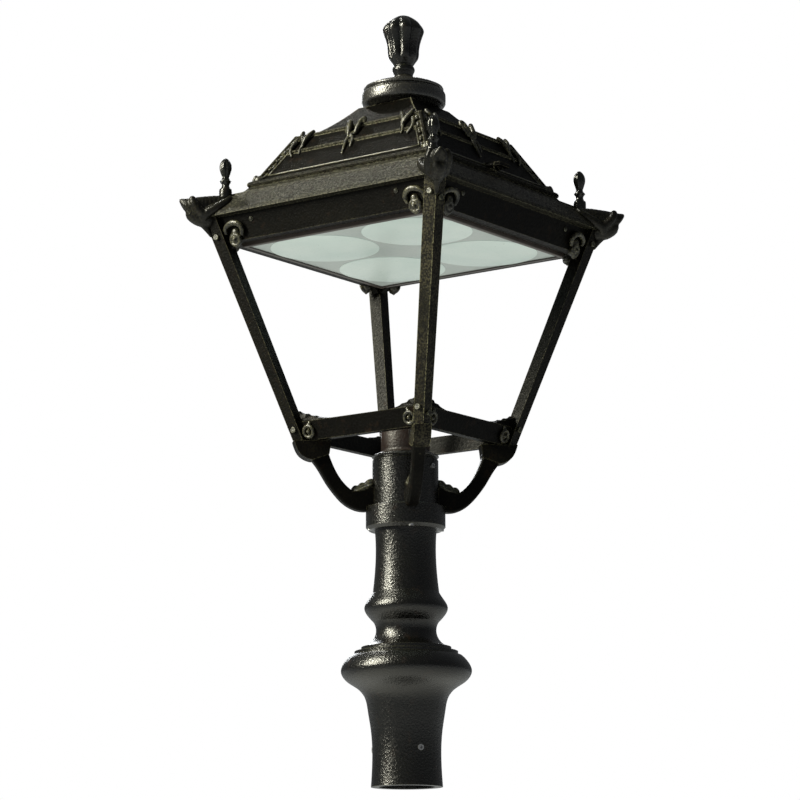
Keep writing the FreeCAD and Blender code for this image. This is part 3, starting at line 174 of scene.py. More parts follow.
def ring_grid(rings):
    """Skin over closed rings of equal point count, capped at both ends."""
    count = len(rings[0])
    verts = [p for ring in rings for p in ring]
    faces = []
    for r in range(len(rings) - 1):
        for i in range(count):
            j = (i + 1) % count
            faces.append((r * count + i, r * count + j, (r + 1) * count + j, (r + 1) * count + i))
    faces.append(tuple(reversed(range(count))))
    faces.append(tuple(range((len(rings) - 1) * count, len(rings) * count)))
    return verts, faces


def smooth_path(points, steps):
    """Catmull-Rom through points of any width."""
    ext = [points[0]] + list(points) + [points[-1]]
    out = []
    for k in range(1, len(ext) - 2):
        a, b, c, d = ext[k - 1], ext[k], ext[k + 1], ext[k + 2]
        for s in range(steps):
            t = s / steps
            out.append(tuple(0.5 * (2 * q + (r - p) * t + (2 * p - 5 * q + 4 * r - w) * t * t
                                    + (3 * q - p - 3 * r + w) * t ** 3)
                             for p, q, r, w in zip(a, b, c, d)))
    out.append(tuple(points[-1]))
    return out


BEAD_RINGS = 8
BEAD_SEGMENTS = 12
BEAD_STEPS = 8
BEAD_SPACING = 0.3
POLE_RADIUS = 1e-3


def bead(radius):
    rings = []
    for r in range(BEAD_RINGS + 1):
        angle = math.pi * r / BEAD_RINGS
        z, reach = math.cos(angle) * radius, max(math.sin(angle) * radius, POLE_RADIUS)
        turns = [2 * math.pi * s / BEAD_SEGMENTS for s in range(BEAD_SEGMENTS)]
        rings.append([(reach * math.cos(turn), reach * math.sin(turn), z) for turn in turns])
    return ring_grid(rings)


def strokes_shape(strokes, place):
    """Beads along smooth strokes of (x, y, depth, radius), put in space by place()."""
    shapes = []
    for stroke in strokes:
        last = None
        for x, y, d, r in smooth_path(stroke, BEAD_STEPS):
            spot = Vector(place(x, y, d))
            if last is not None and (spot - last).length < BEAD_SPACING * r:
                continue
            last = spot
            shapes.append(transformed(bead(r), Matrix.Translation(spot)))
    return merged(shapes)


def sculpted(name, shape, voxel, rounds):
    """Overlapping beads melted together like a casting, then softened in a number of rounds."""
    obj = make_object(name, shape)
    remesh = obj.modifiers.new("melt", "REMESH")
    remesh.mode = "VOXEL"
    remesh.voxel_size = voxel * MM
    soften = obj.modifiers.new("soften", "SMOOTH")
    soften.factor = 0.5
    soften.iterations = rounds
    depsgraph = bpy.context.evaluated_depsgraph_get()
    mesh = bpy.data.meshes.new_from_object(obj.evaluated_get(depsgraph))
    verts = [v.co / MM for v in mesh.vertices]
    faces = [tuple(p.vertices) for p in mesh.polygons]
    bpy.data.objects.remove(obj)
    return verts, faces


def swept(path, section):
    """Round tube of a given number of sides along a path of (x, y, z, radius)."""
    points = [Vector(p[:3]) for p in path]
    rings = []
    side = None
    for k, spot in enumerate(points):
        along = (points[min(k + 1, len(points) - 1)] - points[max(k - 1, 0)]).normalized()
        if side is None:
            side = along.orthogonal().normalized()
        side = (side - along * side.dot(along)).normalized()
        other = along.cross(side)
        r = path[k][3]
        rings.append([spot + side * math.cos(2 * math.pi * s / section) * r
                      + other * math.sin(2 * math.pi * s / section) * r for s in range(section)])
    return ring_grid(rings)


# ---- Procedural materials ----
# Noise scales, per metre
GRIT_SCALE = 300
FINE_GRIT_SCALE = 1100
CLOUD_SCALE = 16
STAIN_SCALE = 60
STAIN_BROWN = (0.016, 0.009, 0.005)
# Cosines between the rounded and the true normal, at a lighter outer edge and on a flat face
EDGE_COSINE = 0.80
FLAT_COSINE = 0.985
BEVEL_SAMPLES = 4


def graph(name):
    """New material with its node tree and its shader."""
    material = bpy.data.materials.new(name)
    material.use_nodes = True
    tree = material.node_tree
    return material, tree, tree.nodes["Principled BSDF"]


def noise(tree, coords, scale, detail, rough=0.5):
    node = tree.nodes.new("ShaderNodeTexNoise")
    node.inputs["Scale"].default_value = scale
    node.inputs["Detail"].default_value = detail
    node.inputs["Roughness"].default_value = rough
    tree.links.new(coords, node.inputs["Vector"])
    return node.outputs[0]


def ramp(tree, value, stops):
    """Colour ramp over a value, from stops of (position, grey or colour)."""
    node = tree.nodes.new("ShaderNodeValToRGB")
    ramp_stops = node.color_ramp.elements
    while len(ramp_stops) < len(stops):
        ramp_stops.new(0.5)
    for element, (position, colour) in zip(ramp_stops, stops):
        element.position = position
        if isinstance(colour, (int, float)):
            colour = (colour, colour, colour)
        element.color = (*colour, 1)
    tree.links.new(value, node.inputs["Fac"])
    return node.outputs["Color"]


def mixed(tree, factor, first, second, blend="MIX"):
    """Mix of two colours. Factor and colours are numbers, tuples or sockets."""
    node = tree.nodes.new("ShaderNodeMix")
    node.data_type = "RGBA"
    node.blend_type = blend
    factor_socket, first_socket, second_socket = (node.inputs[k] for k in (0, 6, 7))
    for socket, value in ((factor_socket, factor), (first_socket, first), (second_socket, second)):
        if isinstance(value, (int, float)):
            socket.default_value = value
        elif isinstance(value, tuple):
            socket.default_value = (*value, 1)
        else:
            tree.links.new(value, socket)
    return node.outputs[2]


def bumped(tree, shader, heights):
    """Chain of bump nodes from (height, strength, distance)."""
    normal = None
    for height, strength, distance in heights:
        node = tree.nodes.new("ShaderNodeBump")
        node.inputs["Strength"].default_value = strength
        node.inputs["Distance"].default_value = distance
        tree.links.new(height, node.inputs["Height"])
        if normal is not None:
            tree.links.new(normal, node.inputs["Normal"])
        normal = node.outputs["Normal"]
    tree.links.new(normal, shader.inputs["Normal"])


def object_coords(tree):
    return tree.nodes.new("ShaderNodeTexCoord").outputs["Object"]


def edge_mask(tree, radius):
    """1 on outer edges, which are lighter as rubbed paint and as painted highlights; 0 on flat faces.
    """
    bevel = tree.nodes.new("ShaderNodeBevel")
    bevel.samples = BEVEL_SAMPLES
    bevel.inputs["Radius"].default_value = radius
    true_normal = tree.nodes.new("ShaderNodeNewGeometry").outputs["Normal"]
    dot = tree.nodes.new("ShaderNodeVectorMath")
    dot.operation = "DOT_PRODUCT"
    tree.links.new(bevel.outputs["Normal"], dot.inputs[0])
    tree.links.new(true_normal, dot.inputs[1])
    return ramp(tree, dot.outputs["Value"], [(EDGE_COSINE, 1.0), (FLAT_COSINE, 0.0)])


def cast_paint(name, deep, dust_and_light_colour, wear_and_highlight, cover=0.5, gloss=0.3, rough=(0.30, 0.52), bump=0.0008,
               edge_width=0.0022):
    """Black paint over a sandy casting, with its grit dusted over, brown stains and lighter outer
    edges.

    cover is how much of it takes the lighter grit colour, rough its lowest and highest roughness, and
    bump and the edge width are the grit's height and the width of a lighter edge, in metres. The grit
    colour is dusted grit on most paints and painted light on the front post's and the cornice's paints;
    the lighter edges are rubbed paint and also painted highlights along rims.
    """
    material, tree, shader = graph(name)
    coords = object_coords(tree)
    grit = noise(tree, coords, GRIT_SCALE, 2, 0.6)
    fine = noise(tree, coords, FINE_GRIT_SCALE, 2)
    clouds = noise(tree, coords, CLOUD_SCALE, 5, 0.6)
    stains = noise(tree, coords, STAIN_SCALE, 4, 0.65)
    # Specks of grit in patches take the lighter grit colour: dusted-over grit on most paints, painted
    # light on the front post's and the cornice's paints.
    grains = ramp(tree, grit, [(0.44, 0.0), (0.60, 1.0)])
    patches = ramp(tree, clouds, [(0.62 - 0.4 * cover, 0.12), (0.85 - 0.4 * cover, 1.0)])
    speckle_mask = mixed(tree, 1.0, grains, patches, "MULTIPLY")
    base = mixed(tree, speckle_mask, deep, dust_and_light_colour)
    base = mixed(tree, ramp(tree, stains, [(0.58, 0.0), (0.76, 0.6)]), base, STAIN_BROWN)
    # Painted highlight and wear: outer edges take the lighter edge colour, as rubbed paint and as
    # highlights along rims.
    edge_breakup = ramp(tree, grit, [(0.40, 0.10), (0.58, 1.0)])
    edge = mixed(tree, 1.0, edge_mask(tree, edge_width), edge_breakup, "MULTIPLY")
    base = mixed(tree, edge, base, wear_and_highlight)
    tree.links.new(base, shader.inputs["Base Color"])
    tree.links.new(ramp(tree, grit, [(0.35, rough[1]), (0.65, rough[0])]), shader.inputs["Roughness"])
    shader.inputs["Specular IOR Level"].default_value = gloss
    bumped(tree, shader, [(grit, 0.9, bump), (fine, 0.5, bump * 0.3)])
    return material


def plain_finish(name, colour, rough, metal=0.0, scale=220.0, spread=0.18, bump=0.0002):
    """Moulded or machined finish: slight mottling, fine marks and uneven gloss."""
    material, tree, shader = graph(name)
    coords = object_coords(tree)
    clouds = noise(tree, coords, scale / 8, 4)
    fine = noise(tree, coords, scale * 4, 3)
    dark = tuple(c * (1 - spread) for c in colour)
    light = tuple(min(c * (1 + spread), 1.0) for c in colour)
    tree.links.new(ramp(tree, clouds, [(0.3, dark), (0.7, light)]), shader.inputs["Base Color"])
    tree.links.new(ramp(tree, fine, [(0.3, max(rough - 0.1, 0.05)), (0.7, min(rough + 0.12, 1))]),
                   shader.inputs["Roughness"])
    shader.inputs["Metallic"].default_value = metal
    bumped(tree, shader, [(fine, 0.35, bump)])
    return material


# Strength of the painted light on the frosted panels, which glow faintly in their own colour.
PANEL_PAINTED_LIGHT = 0.14


def frosted(name, colour, shade, rough):
    """Frosted plastic, a little clouded and dusted over, with a faint glow of painted light for the
    light that falls on it.
    """
    material, tree, shader = graph(name)
    coords = object_coords(tree)
    clouds = noise(tree, coords, 9, 4)
    speckle_mask = noise(tree, coords, 160, 5, 0.7)
    base = mixed(tree, ramp(tree, clouds, [(0.35, 0.0), (0.7, 1.0)]), colour, shade)
    grey = tuple(c * 0.75 for c in colour)
    base = mixed(tree, ramp(tree, speckle_mask, [(0.58, 0.0), (0.8, 0.35)]), base, grey)
    tree.links.new(base, shader.inputs["Base Color"])
    tree.links.new(ramp(tree, speckle_mask, [(0.3, rough), (0.7, rough + 0.15)]), shader.inputs["Roughness"])
    # Painted light: the base colour glows, standing in for light that falls on the panel.
    tree.links.new(base, shader.inputs["Emission Color"])
    shader.inputs["Emission Strength"].default_value = PANEL_PAINTED_LIGHT
    bumped(tree, shader, [(noise(tree, coords, 500, 2), 0.25, 0.0002)])
    return material


CAST = cast_paint("cast_paint", (0.0012, 0.0011, 0.0008), (0.0050, 0.0046, 0.0030),
                  (0.075, 0.070, 0.044), cover=0.4, gloss=0.06, bump=0.0006)
ROOF = cast_paint("roof_paint", (0.0012, 0.0011, 0.0008), (0.0045, 0.0042, 0.0028), (0.26, 0.25, 0.17),
                  cover=0.4, gloss=0.03, edge_width=0.0040)
IRON = cast_paint("iron_paint", (0.0012, 0.0012, 0.0009), (0.0050, 0.0050, 0.0034), (0.06, 0.06, 0.038),
                  cover=0.4, gloss=0.50, rough=(0.18, 0.34))
LEAF = cast_paint("leaf_paint", (0.0030, 0.0030, 0.0018), (0.070, 0.067, 0.039), (0.34, 0.325, 0.20),
                  cover=0.75, gloss=0.45, rough=(0.22, 0.45))
# The corner leaves' lighter edge colour paints highlights along their rims, besides rubbed paint.
CURL = cast_paint("curl_paint", (0.0018, 0.0018, 0.0012), (0.020, 0.019, 0.012), (0.28, 0.27, 0.165),
                  cover=0.6, gloss=0.20, rough=(0.22, 0.42))
BUDS = cast_paint("bud_paint", (0.0012, 0.0013, 0.0009), (0.0060, 0.0064, 0.0040), (0.08, 0.084, 0.050),
                  gloss=0.45, rough=(0.12, 0.28))
# Painted sheen: the cornice's upward slope is mostly covered in the lighter grit colour, standing in
# for the light it catches.
BAND = cast_paint("band_paint", (0.0028, 0.0027, 0.0019), (0.036, 0.035, 0.024), (0.16, 0.155, 0.105),
                  cover=0.9, gloss=0.10, rough=(0.34, 0.60), bump=0.0014)
POST = cast_paint("post_paint", (0.0013, 0.0012, 0.0008), (0.0075, 0.0066, 0.0038),
                  (0.080, 0.074, 0.043), cover=0.6, gloss=0.08, rough=(0.30, 0.55), bump=0.0010)
# Painted light: a lighter copy of the post paint for the front post, which catches the light.
PAINTED_LIGHT_POST = cast_paint("painted_light_post_paint", (0.0020, 0.0019, 0.0012), (0.034, 0.031, 0.018),
                        (0.22, 0.21, 0.12), cover=0.8, gloss=0.10, rough=(0.30, 0.55), bump=0.0010)
CAP = cast_paint("cap_paint", (0.0024, 0.0023, 0.0017), (0.024, 0.023, 0.018), (0.18, 0.175, 0.125),
                 cover=0.8, gloss=0.8, rough=(0.20, 0.42))
NECK = cast_paint("neck_paint", (0.0080, 0.0040, 0.0028), (0.022, 0.012, 0.009), (0.16, 0.13, 0.09),
                  cover=0.6, gloss=0.4)
SLOT_MATERIALS = {
    "cast_lantern": CAST,
    "cast_column": IRON,
    "galvanised_steel": plain_finish("galvanised", (0.46, 0.47, 0.48), 0.5, 0.9, 90.0, 0.3),
    "fastener_steel": plain_finish("fasteners", (0.42, 0.42, 0.43), 0.38, 1.0),
    "painted_steel": cast_paint("screw_paint", (0.01, 0.01, 0.007), (0.05, 0.05, 0.03),
                                (0.25, 0.25, 0.17)),
    "black_nylon": plain_finish("nylon", (0.03, 0.03, 0.03), 0.45),
    "gasket_rubber": plain_finish("rubber", (0.025, 0.025, 0.025), 0.8),
    "diffuser": frosted("diffuser", (0.42, 0.465, 0.45), (0.36, 0.415, 0.40), 0.30),
    "lens": frosted("lens", (0.62, 0.71, 0.68), (0.53, 0.64, 0.61), 0.26),
    "tray_white": plain_finish("tray_white", (0.74, 0.75, 0.74), 0.45),
    "gear_steel": plain_finish("zinc_sheet", (0.55, 0.56, 0.55), 0.4, 0.9, 90.0, 0.25),
    "board_white": plain_finish("board", (0.82, 0.83, 0.80), 0.5),
    "chip_yellow": plain_finish("phosphor", (0.80, 0.64, 0.16), 0.3),
    "driver_case": plain_finish("driver_case", (0.78, 0.78, 0.76), 0.5),
    "surge_case": plain_finish("surge_case", (0.22, 0.23, 0.25), 0.45),
    "terminal_plastic": plain_finish("terminals", (0.74, 0.72, 0.64), 0.5),
    "panel_frame_paint": plain_finish("panel_frame", (0.055, 0.045, 0.040), 0.42),
}
NODE_MATERIALS = {"cornice": BAND, "hub_cap": NECK, "roof_shell": ROOF}
NODE_MATERIALS.update({"corner_post_" + corner: POST for corner in CORNERS})
# The front post takes the lighter copy, as painted light.
NODE_MATERIALS["corner_post_front_right"] = PAINTED_LIGHT_POST


def paint(obj, material):
    obj.data.materials.clear()
    obj.data.materials.append(material)


for part in frame["record"]["subparts"]:
    node = nodes[part["node"]]
    finish = NODE_MATERIALS.get(part["node"], SLOT_MATERIALS[part["material_slot"]])
    if node.material_slots:
        for slot in node.material_slots:
            slot.material = finish
    else:
        node.data.materials.append(finish)


def piece(name, shape, body, slot, material, *replaced):
    """One visual piece: its body, its finish and the nodes it stands for. Its slot argument is not
    used.
    """
    obj = make_object(name, shape)
    paint(obj, material)
    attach(obj, body)
    if replaced:
        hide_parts(*replaced)
    return obj


# ---- Turned pieces with petals ----
PETAL_SHARPNESS = 0.7
TIP_RADIUS = 0.02


def petalled(profile, petals, depth, segments):
    """Revolved outline of (radius, height, strength), bulging in petals with creases between.

    depth is the creases' share of the radius where the strength is 1.
    """
    rings = []
    for radius, height, strength in profile:
        ring = []
        for s in range(segments):
            angle = 2 * math.pi * s / segments
            lobe = abs(math.cos(petals * angle / 2)) ** PETAL_SHARPNESS
            r = max(radius * (1 - depth * strength * (1 - lobe)), TIP_RADIUS)
            ring.append((r * math.cos(angle), r * math.sin(angle), height))
        rings.append(ring)
    return ring_grid(rings)


def crown():
    """Fluted tulip bud on a ringed stem."""
    drawn_height, drawn_radius = 107, 34.9
    foot = low("crown_finial").z
    k = (high("crown_finial").z - foot) / drawn_height
    r = high("crown_finial").x / drawn_radius
    outline = [(15.1, 0, 0), (16.8, 5, 0), (19, 10.5, 0), (17.8, 15.5, 0), (15.6, 17.5, 0),
               (17.2, 20, 0), (20.5, 25, 0.3), (24.6, 31, 0.7), (26.3, 38, 1), (26.6, 46, 1),
               (28.5, 58, 1), (32.2, 70, 1), (34.9, 78, 1), (34.6, 82, 0.9), (32.5, 86.5, 0.9),
               (29, 91, 0.8), (24, 95.5, 0.6),
               (17, 100.5, 0.4), (9, 104.8, 0.2), (0, 107, 0)]
    outline = smooth_path(outline, 4)
    return [(x * r, foot + z * k, f) for x, z, f in outline]


piece("crown_bud", petalled(crown(), petals=8, depth=0.20, segments=128), "roof", "cast_lantern", BUDS,
      "crown_finial")


def cap_outline():
    """Drum with a beaded lid over a concave neck."""
    drawn_radius = 70.4
    k = high("roof_cap").x / drawn_radius
    outline = [(46, 0.3), (56, 0.3), (60, 1.2), (62, 4), (66, 5.5), (69, 7.5), (70.2, 10), (70.4, 14),
               (70.4, 20), (70.2, 25), (69, 27.5), (66, 28.6), (63.4, 29.4), (62.8, 30.6), (63.6, 31.8),
               (66, 32.6), (67, 34.4), (66, 36.6), (63, 38), (58, 40.5), (50, 43.5), (38, 47.4),
               (26, 51.5), (18, 55.5), (16, 58), (0, 58)]
    return [(x * k, ROOF_TOP + z, 0) for x, z in outline]


piece("cap_drum", petalled(cap_outline(), petals=0, depth=0, segments=96), "roof", "cast_lantern", CAP,
      "roof_cap")


BUD_SINK = 8
FINIAL_INSET = 1


def small_bud():
    """Bud on a ringed stem, whose foot sinks into the cornice."""
    foot = CORNICE_TOP - BUD_SINK
    outline = [(10.5, -12, 0), (10.5, 2.5, 0), (8.2, 5, 0), (6.2, 10, 0), (7.4, 14, 0), (9.6, 17, 0),
               (7.2, 20, 0.2), (5.8, 24, 0.8), (7.4, 29, 1), (9.6, 36, 1), (10.2, 42, 1),
               (9.2, 47.5, 0.8),
               (6.5, 52.5, 0.5), (3, 56, 0.2), (0, 57, 0)]
    return [(x, foot + z, f) for x, z, f in smooth_path(outline, 4)]


FINIAL_REACH = (BAND_TOP_HALF - FINIAL_INSET) * DIAGONAL
bud = petalled(small_bud(), petals=6, depth=0.22, segments=48)
bud = transformed(bud, Matrix.Translation((FINIAL_REACH, 0, 0)))
piece("corner_buds", around_corners(bud), "lantern", "cast_lantern", BUDS, "corner_finials")


# ---- Corner leaves ----
LEAF_REACH = 35.6
LEAF_TIP = LIP_HALF * DIAGONAL + LEAF_REACH


def corner_spot(x, y, z):
    """Placer for strokes drawn straight in space: x out along a corner's diagonal, y across, z up."""
    return (x, y, z)


def face_spot(t, z, out, side):
    """Point on the cornice's face at a distance t from its corner, standing out from it."""
    reach = band_half(z) * DIAGONAL
    h = math.sqrt(0.5)
    return (reach - t * h + out * h, side * (t * h + out * h), z)


def corner_leaf_strokes():
    """Body, belly and tail of a corner leaf, then its two cheeks and its lobes on the cornice."""
    tip, lip = LEAF_TIP, RAIL_TOP
    strokes = [
        [(FINIAL_REACH + 6, 0, lip + 22, 17), (tip - 60, 0, lip + 22, 17), (tip - 42, 0, lip + 20, 17),
         (tip - 28, 0, lip + 18.5, 16.5), (tip - 18, 0, lip + 19, 14), (tip - 11, 0, lip + 21.5, 10.5),
         (tip - 6.5, 0, lip + 25, 7), (tip - 3.5, 0, lip + 27.8, 4), (tip - 2, 0, lip + 29.5, 2)],
        [(tip - 48, 0, lip - 3, 13), (tip - 38, 0, lip - 2, 13.5), (tip - 28, 0, lip + 2.5, 13.5),
         (tip - 20, 0, lip + 8, 12), (tip - 14, 0, lip + 14, 9)],
        [(tip - 42, 0, lip - 12, 6.5), (tip - 48, 0, lip - 21, 4.5), (tip - 53, 0, lip - 30, 2.5)],
    ]
    for side in (-1, 1):
        strokes.append([(tip - 40, 12 * side, lip + 4, 9), (tip - 30, 15 * side, lip + 12, 7.5),
                        (tip - 23, 15.5 * side, lip + 21, 6.5), (tip - 21, 13 * side, lip + 28, 6)])
        strokes.append([(*face_spot(8, lip - 1, 3, side), 9), (*face_spot(18, lip + 6, 3, side), 8.5),
                        (*face_spot(25, lip + 15, 2.5, side), 7.5),
                        (*face_spot(26, lip + 25, 2, side), 6),
                        (*face_spot(20, lip + 32, 1.5, side), 4.5)])
    return strokes


def hollowed(shape):
    """Shallow scoop in the outer face of a corner leaf and a vein along its top."""
    scoop_depth, scoop_width, scoop_height, scoop_centre = 8.0, 6.0, 9, 13
    scoop_start, scoop_run = LEAF_TIP - 40, 20
    vein_depth, vein_width, vein_foot, vein_rise = 4.0, 3.5, 24, 8
    vein_end, vein_run = LEAF_TIP - 12, 20
    verts = []
    for x, y, z in shape[0]:
        front = clamped((x - scoop_start) / scoop_run)
        window = math.exp(-((z - RAIL_TOP - scoop_centre) / scoop_height) ** 2)
        scoop = scoop_depth * front * window * math.exp(-(y / scoop_width) ** 2)
        crest = clamped((z - RAIL_TOP - vein_foot) / vein_rise)
        fade = clamped((vein_end - x) / vein_run)
        vein = vein_depth * crest * math.exp(-(y / vein_width) ** 2) * fade
        verts.append((x - scoop, y, z - vein))
    return verts, shape[1]


corner_beads = strokes_shape(corner_leaf_strokes(), corner_spot)
corner_casting = hollowed(sculpted("corner_casting", corner_beads, voxel=1.3, rounds=3))
piece("corner_leaf_castings", around_corners(corner_casting), "lantern", "cast_lantern", CURL,
      "corner_leaves")


# ---- Leaf scrolls on the arms' roots ----
def arm_leaf_strokes():
    """Rib, three curls along it and a leaf on each side."""
    root, top = HUB_RADIUS, ARM_ROOT_TOP
    strokes = [
        [(root + 3, 0, top + 6, 6.5), (root + 10, 0, top + 1.5, 6.5), (root + 19, 0, top - 2, 6),
         (root + 28, 0, top - 4.5, 4.5), (root + 34, 0, top - 5, 2.5)],
        [(root + 2, 0, top + 12, 3.2), (root + 7, 0, top + 10.5, 3.4), (root + 11, 0, top + 7, 2.8)],
        [(root + 14, 0, top + 5.5, 2.8), (root + 19, 0, top + 5.2, 3), (root + 23, 0, top + 1.5, 2.6)],
        [(root + 26, 0, top + 1.2, 2.2), (root + 30, 0, top + 0.8, 2.4), (root + 34, 0, top - 3, 2)],
    ]
    for side in (-1, 1):
        strokes.append([(root + 4, 5 * side, top + 2, 4), (root + 12, 6.5 * side, top - 2, 3.6),
                        (root + 22, 6 * side, top - 5, 3), (root + 30, 4 * side, top - 6.5, 2)])
    return strokes


arm_beads = strokes_shape(arm_leaf_strokes(), corner_spot)
arm_scroll = sculpted("arm_scroll", arm_beads, voxel=0.9, rounds=2)
piece("arm_scroll_leaves", around_corners(arm_scroll), "lantern", "cast_lantern", LEAF, "arm_leaves")


# ---- Work on sloping faces ----
def on_roof(x, y, d):
    """Point on the front roof slope: x across, y up the slope from the frieze's edge, d out."""
    z = BREAK_HEIGHT + y * math.cos(ROOF_LEAN)
    return (x, -(roof_half(z) + d * math.cos(ROOF_LEAN)), z + d * math.sin(ROOF_LEAN))


def on_rail(height):
    """Placer for work on the front rails at one height: x across, y up, d out."""
    def place(x, y, d):
        z = height + y * math.cos(RAIL_LEAN)
        return (x, -(rail_half(z) + d * math.cos(RAIL_LEAN)), z + d * math.sin(RAIL_LEAN))
    return place


END_LEAF_INSET = 26


def roof_leaf_shape():
    """Beads of one side's leaves: one in the middle of the frieze and one at each end."""
    middle = [
        [(-17, 2, 3, 3.6), (-16, 8, 4, 4), (-12.5, 3, 5, 4.8), (-11, -7, 5, 4.8), (-9.5, -16, 4, 4.2),
         (-8, -23, 3, 3.4)],
        [(15, 3, 3, 3.4), (14, 9, 4, 4), (10, 4, 5, 4.6), (7.5, -6, 5, 4.6), (6, -14, 4, 4.2),
         (5, -20, 3, 3.4)],
        [(-17, -5, 2, 2.8), (-16, -12, 3, 3), (-13, -19, 2.5, 2.6)],
        [(-1.5, -16, 1.5, 2.6), (-1.5, -22, 2.5, 3.2), (-1.5, -27, 2, 2.6)],
        [(-7, -29, 2.5, 3.4), (-8.5, -37, 2.2, 3.4), (-8, -47, 2, 3), (-7.5, -56, 1.6, 2.6),
         (-7.5, -62, 1, 2)],
        [(3, -29, 2.5, 3.2), (4.5, -35, 2.2, 3.2), (4.5, -42, 1.8, 2.8), (4, -49, 1.2, 2.2)],
    ]
    end = [
        [(-11, 4, 3, 3.4), (-7, -3, 4.5, 4), (-2.5, -11, 4.5, 4.2), (0, -20, 3.5, 3.6),
         (0, -26, 3, 2.8)],
        [(11, 6, 3, 3.4), (9.5, -2, 4.5, 3.8), (4.5, -11, 4.5, 4), (1.5, -19, 3.5, 3.4)],
        [(17, -14, 3, 3.4), (21, -21, 3.5, 3.8), (23, -30, 3.2, 3.4), (20, -40, 2.4, 2.6),
         (16, -46, 1.6, 2)],
        [(0, -25, 2.5, 3), (3, -33, 2, 2.6), (3, -42, 1.4, 1.9)],
    ]
    shapes = [strokes_shape(middle, on_roof)]
    for side in (-1, 1):
        moved = [[(side * (BREAK_HALF - END_LEAF_INSET + x), y, d, r) for x, y, d, r in stroke]
                 for stroke in end]
        shapes.append(strokes_shape(moved, on_roof))
    return merged(shapes)


roof_work = sculpted("roof_work", roof_leaf_shape(), voxel=1.1, rounds=2)
piece("roof_acanthus", around_sides(roof_work), "roof", "cast_lantern", LEAF, "roof_leaves")


HIP_LEAVES = 5
HIP_LEAF_DROP = 4
HIP_LEAF_SPACING = 15
HIP_LEAF_LENGTH = 12
HIP_LEAF_INSET = 4.5
HIP_LEAF_RADIUS = 5.6
HIP_LEAF_TAPER = 0.5
HIP_FOOT_RISE = 12


def hip_strokes():
    """Small leaves that hang down each hip from the frieze, over a knob at its foot."""
    strokes = []
    for step in range(HIP_LEAVES):
        z = BREAK_HEIGHT - HIP_LEAF_DROP - HIP_LEAF_SPACING * step
        reach = roof_half(z) * DIAGONAL - HIP_LEAF_INSET
        low_reach = roof_half(z - HIP_LEAF_LENGTH) * DIAGONAL - HIP_LEAF_INSET
        size = HIP_LEAF_RADIUS - HIP_LEAF_TAPER * step
        for side in (-1, 1):
            strokes.append([(reach, 1.5 * side, z, size * 0.7),
                            (reach - 1, 6 * side, z - 3, size * 0.8),
                            (low_reach - 1.5, 7.5 * side, z - 9, size * 0.55)])
        strokes.append([(reach + 0.5, 0, z, size * 0.8), (low_reach + 1.5, 0, z - 11, size * 0.6)])
    foot = ROOF_FOOT + HIP_FOOT_RISE
    reach = roof_half(foot) * DIAGONAL
    strokes.append([(reach - 3, 0, foot, 9), (reach - 1, 0, foot + 1, 8)])
    strokes.append([(reach + 3, 0, foot + 5, 4.5), (reach + 6, 0, foot - 1, 4),
                    (reach + 3, 0, foot - 6, 3.5)])
    return strokes


hip_work = sculpted("hip_work", strokes_shape(hip_strokes(), corner_spot), voxel=1.0, rounds=2)
piece("hip_leaves", around_corners(hip_work), "roof", "cast_lantern", LEAF)


STRIP_TOP = -3.0
STRIP_FOOT = -80.0
STRIP_INSET = 15.0
STRIP_RISE = 0.1
STRIP_RADIUS = 1.5
STRIP_SIDES = 10
HIP_STEPS = 8
FOOT_STEPS = 12


def strip_half(y):
    """Distance of a side's strips from its middle, y up the slope from the frieze's edge."""
    return roof_half(BREAK_HEIGHT + y * math.cos(ROOF_LEAN)) - STRIP_INSET


def panel_strips():
    """Raised border strips along the hips of one roof slope and above its foot."""
    shapes = []
    for side in (-1, 1):
        line = []
        for step in range(HIP_STEPS + 1):
            y = STRIP_TOP + (STRIP_FOOT - STRIP_TOP) * step / HIP_STEPS
            line.append((*on_roof(side * strip_half(y), y, STRIP_RISE), STRIP_RADIUS))
        shapes.append(swept(line, STRIP_SIDES))
    half = strip_half(STRIP_FOOT)
    line = [(*on_roof(-half + 2 * half * step / FOOT_STEPS, STRIP_FOOT, STRIP_RISE), STRIP_RADIUS)
            for step in range(FOOT_STEPS + 1)]
    shapes.append(swept(line, STRIP_SIDES))
    return merged(shapes)


piece("roof_strips", around_sides(panel_strips()), "roof", "cast_lantern", LEAF)


# ---- Scrolls and rosettes on the rails ----
def spiral(start_radius, end_radius, start, turns, thick, thin, depth, rise, steps):
    """Stroke that winds round the origin from one radius to another, while it rises and thins."""
    points = []
    for k in range(steps + 1):
        t = k / steps
        angle = math.radians(start) + turns * 2 * math.pi * t
        radius = start_radius + (end_radius - start_radius) * t
        points.append((radius * math.cos(angle), radius * math.sin(angle), depth + rise * t,
                       thick + (thin - thick) * t))
    return points


def scroll_strokes():
    """C-scroll over a ring with a ball, drawn for the left-hand end of a rail."""
    arc = [(-19, 13, 3, 3.2), (-19, 19, 4, 3.8), (-12, 25, 5, 4.6), (0, 28, 6, 5), (10, 25, 6, 4.8),
           (16, 17, 5, 4.2), (14, 8, 4.5, 3.4)]
    ring = spiral(10.5, 7.5, 100, 1.15, thick=3.4, thin=2.8, depth=3.5, rise=2.5, steps=40)
    ball = [(0, 0, 3, 4), (0, 0, 7.5, 4.2), (0.3, -0.5, 10, 2.4)]
    back = [(0, 12, 0, 8), (0, 2, 0, 9), (0, -3, 0, 8)]
    nub = [(0, -10, 3, 3.2), (0, -12, 4.5, 2.6)]
    return [arc, ring, ball, back, nub]


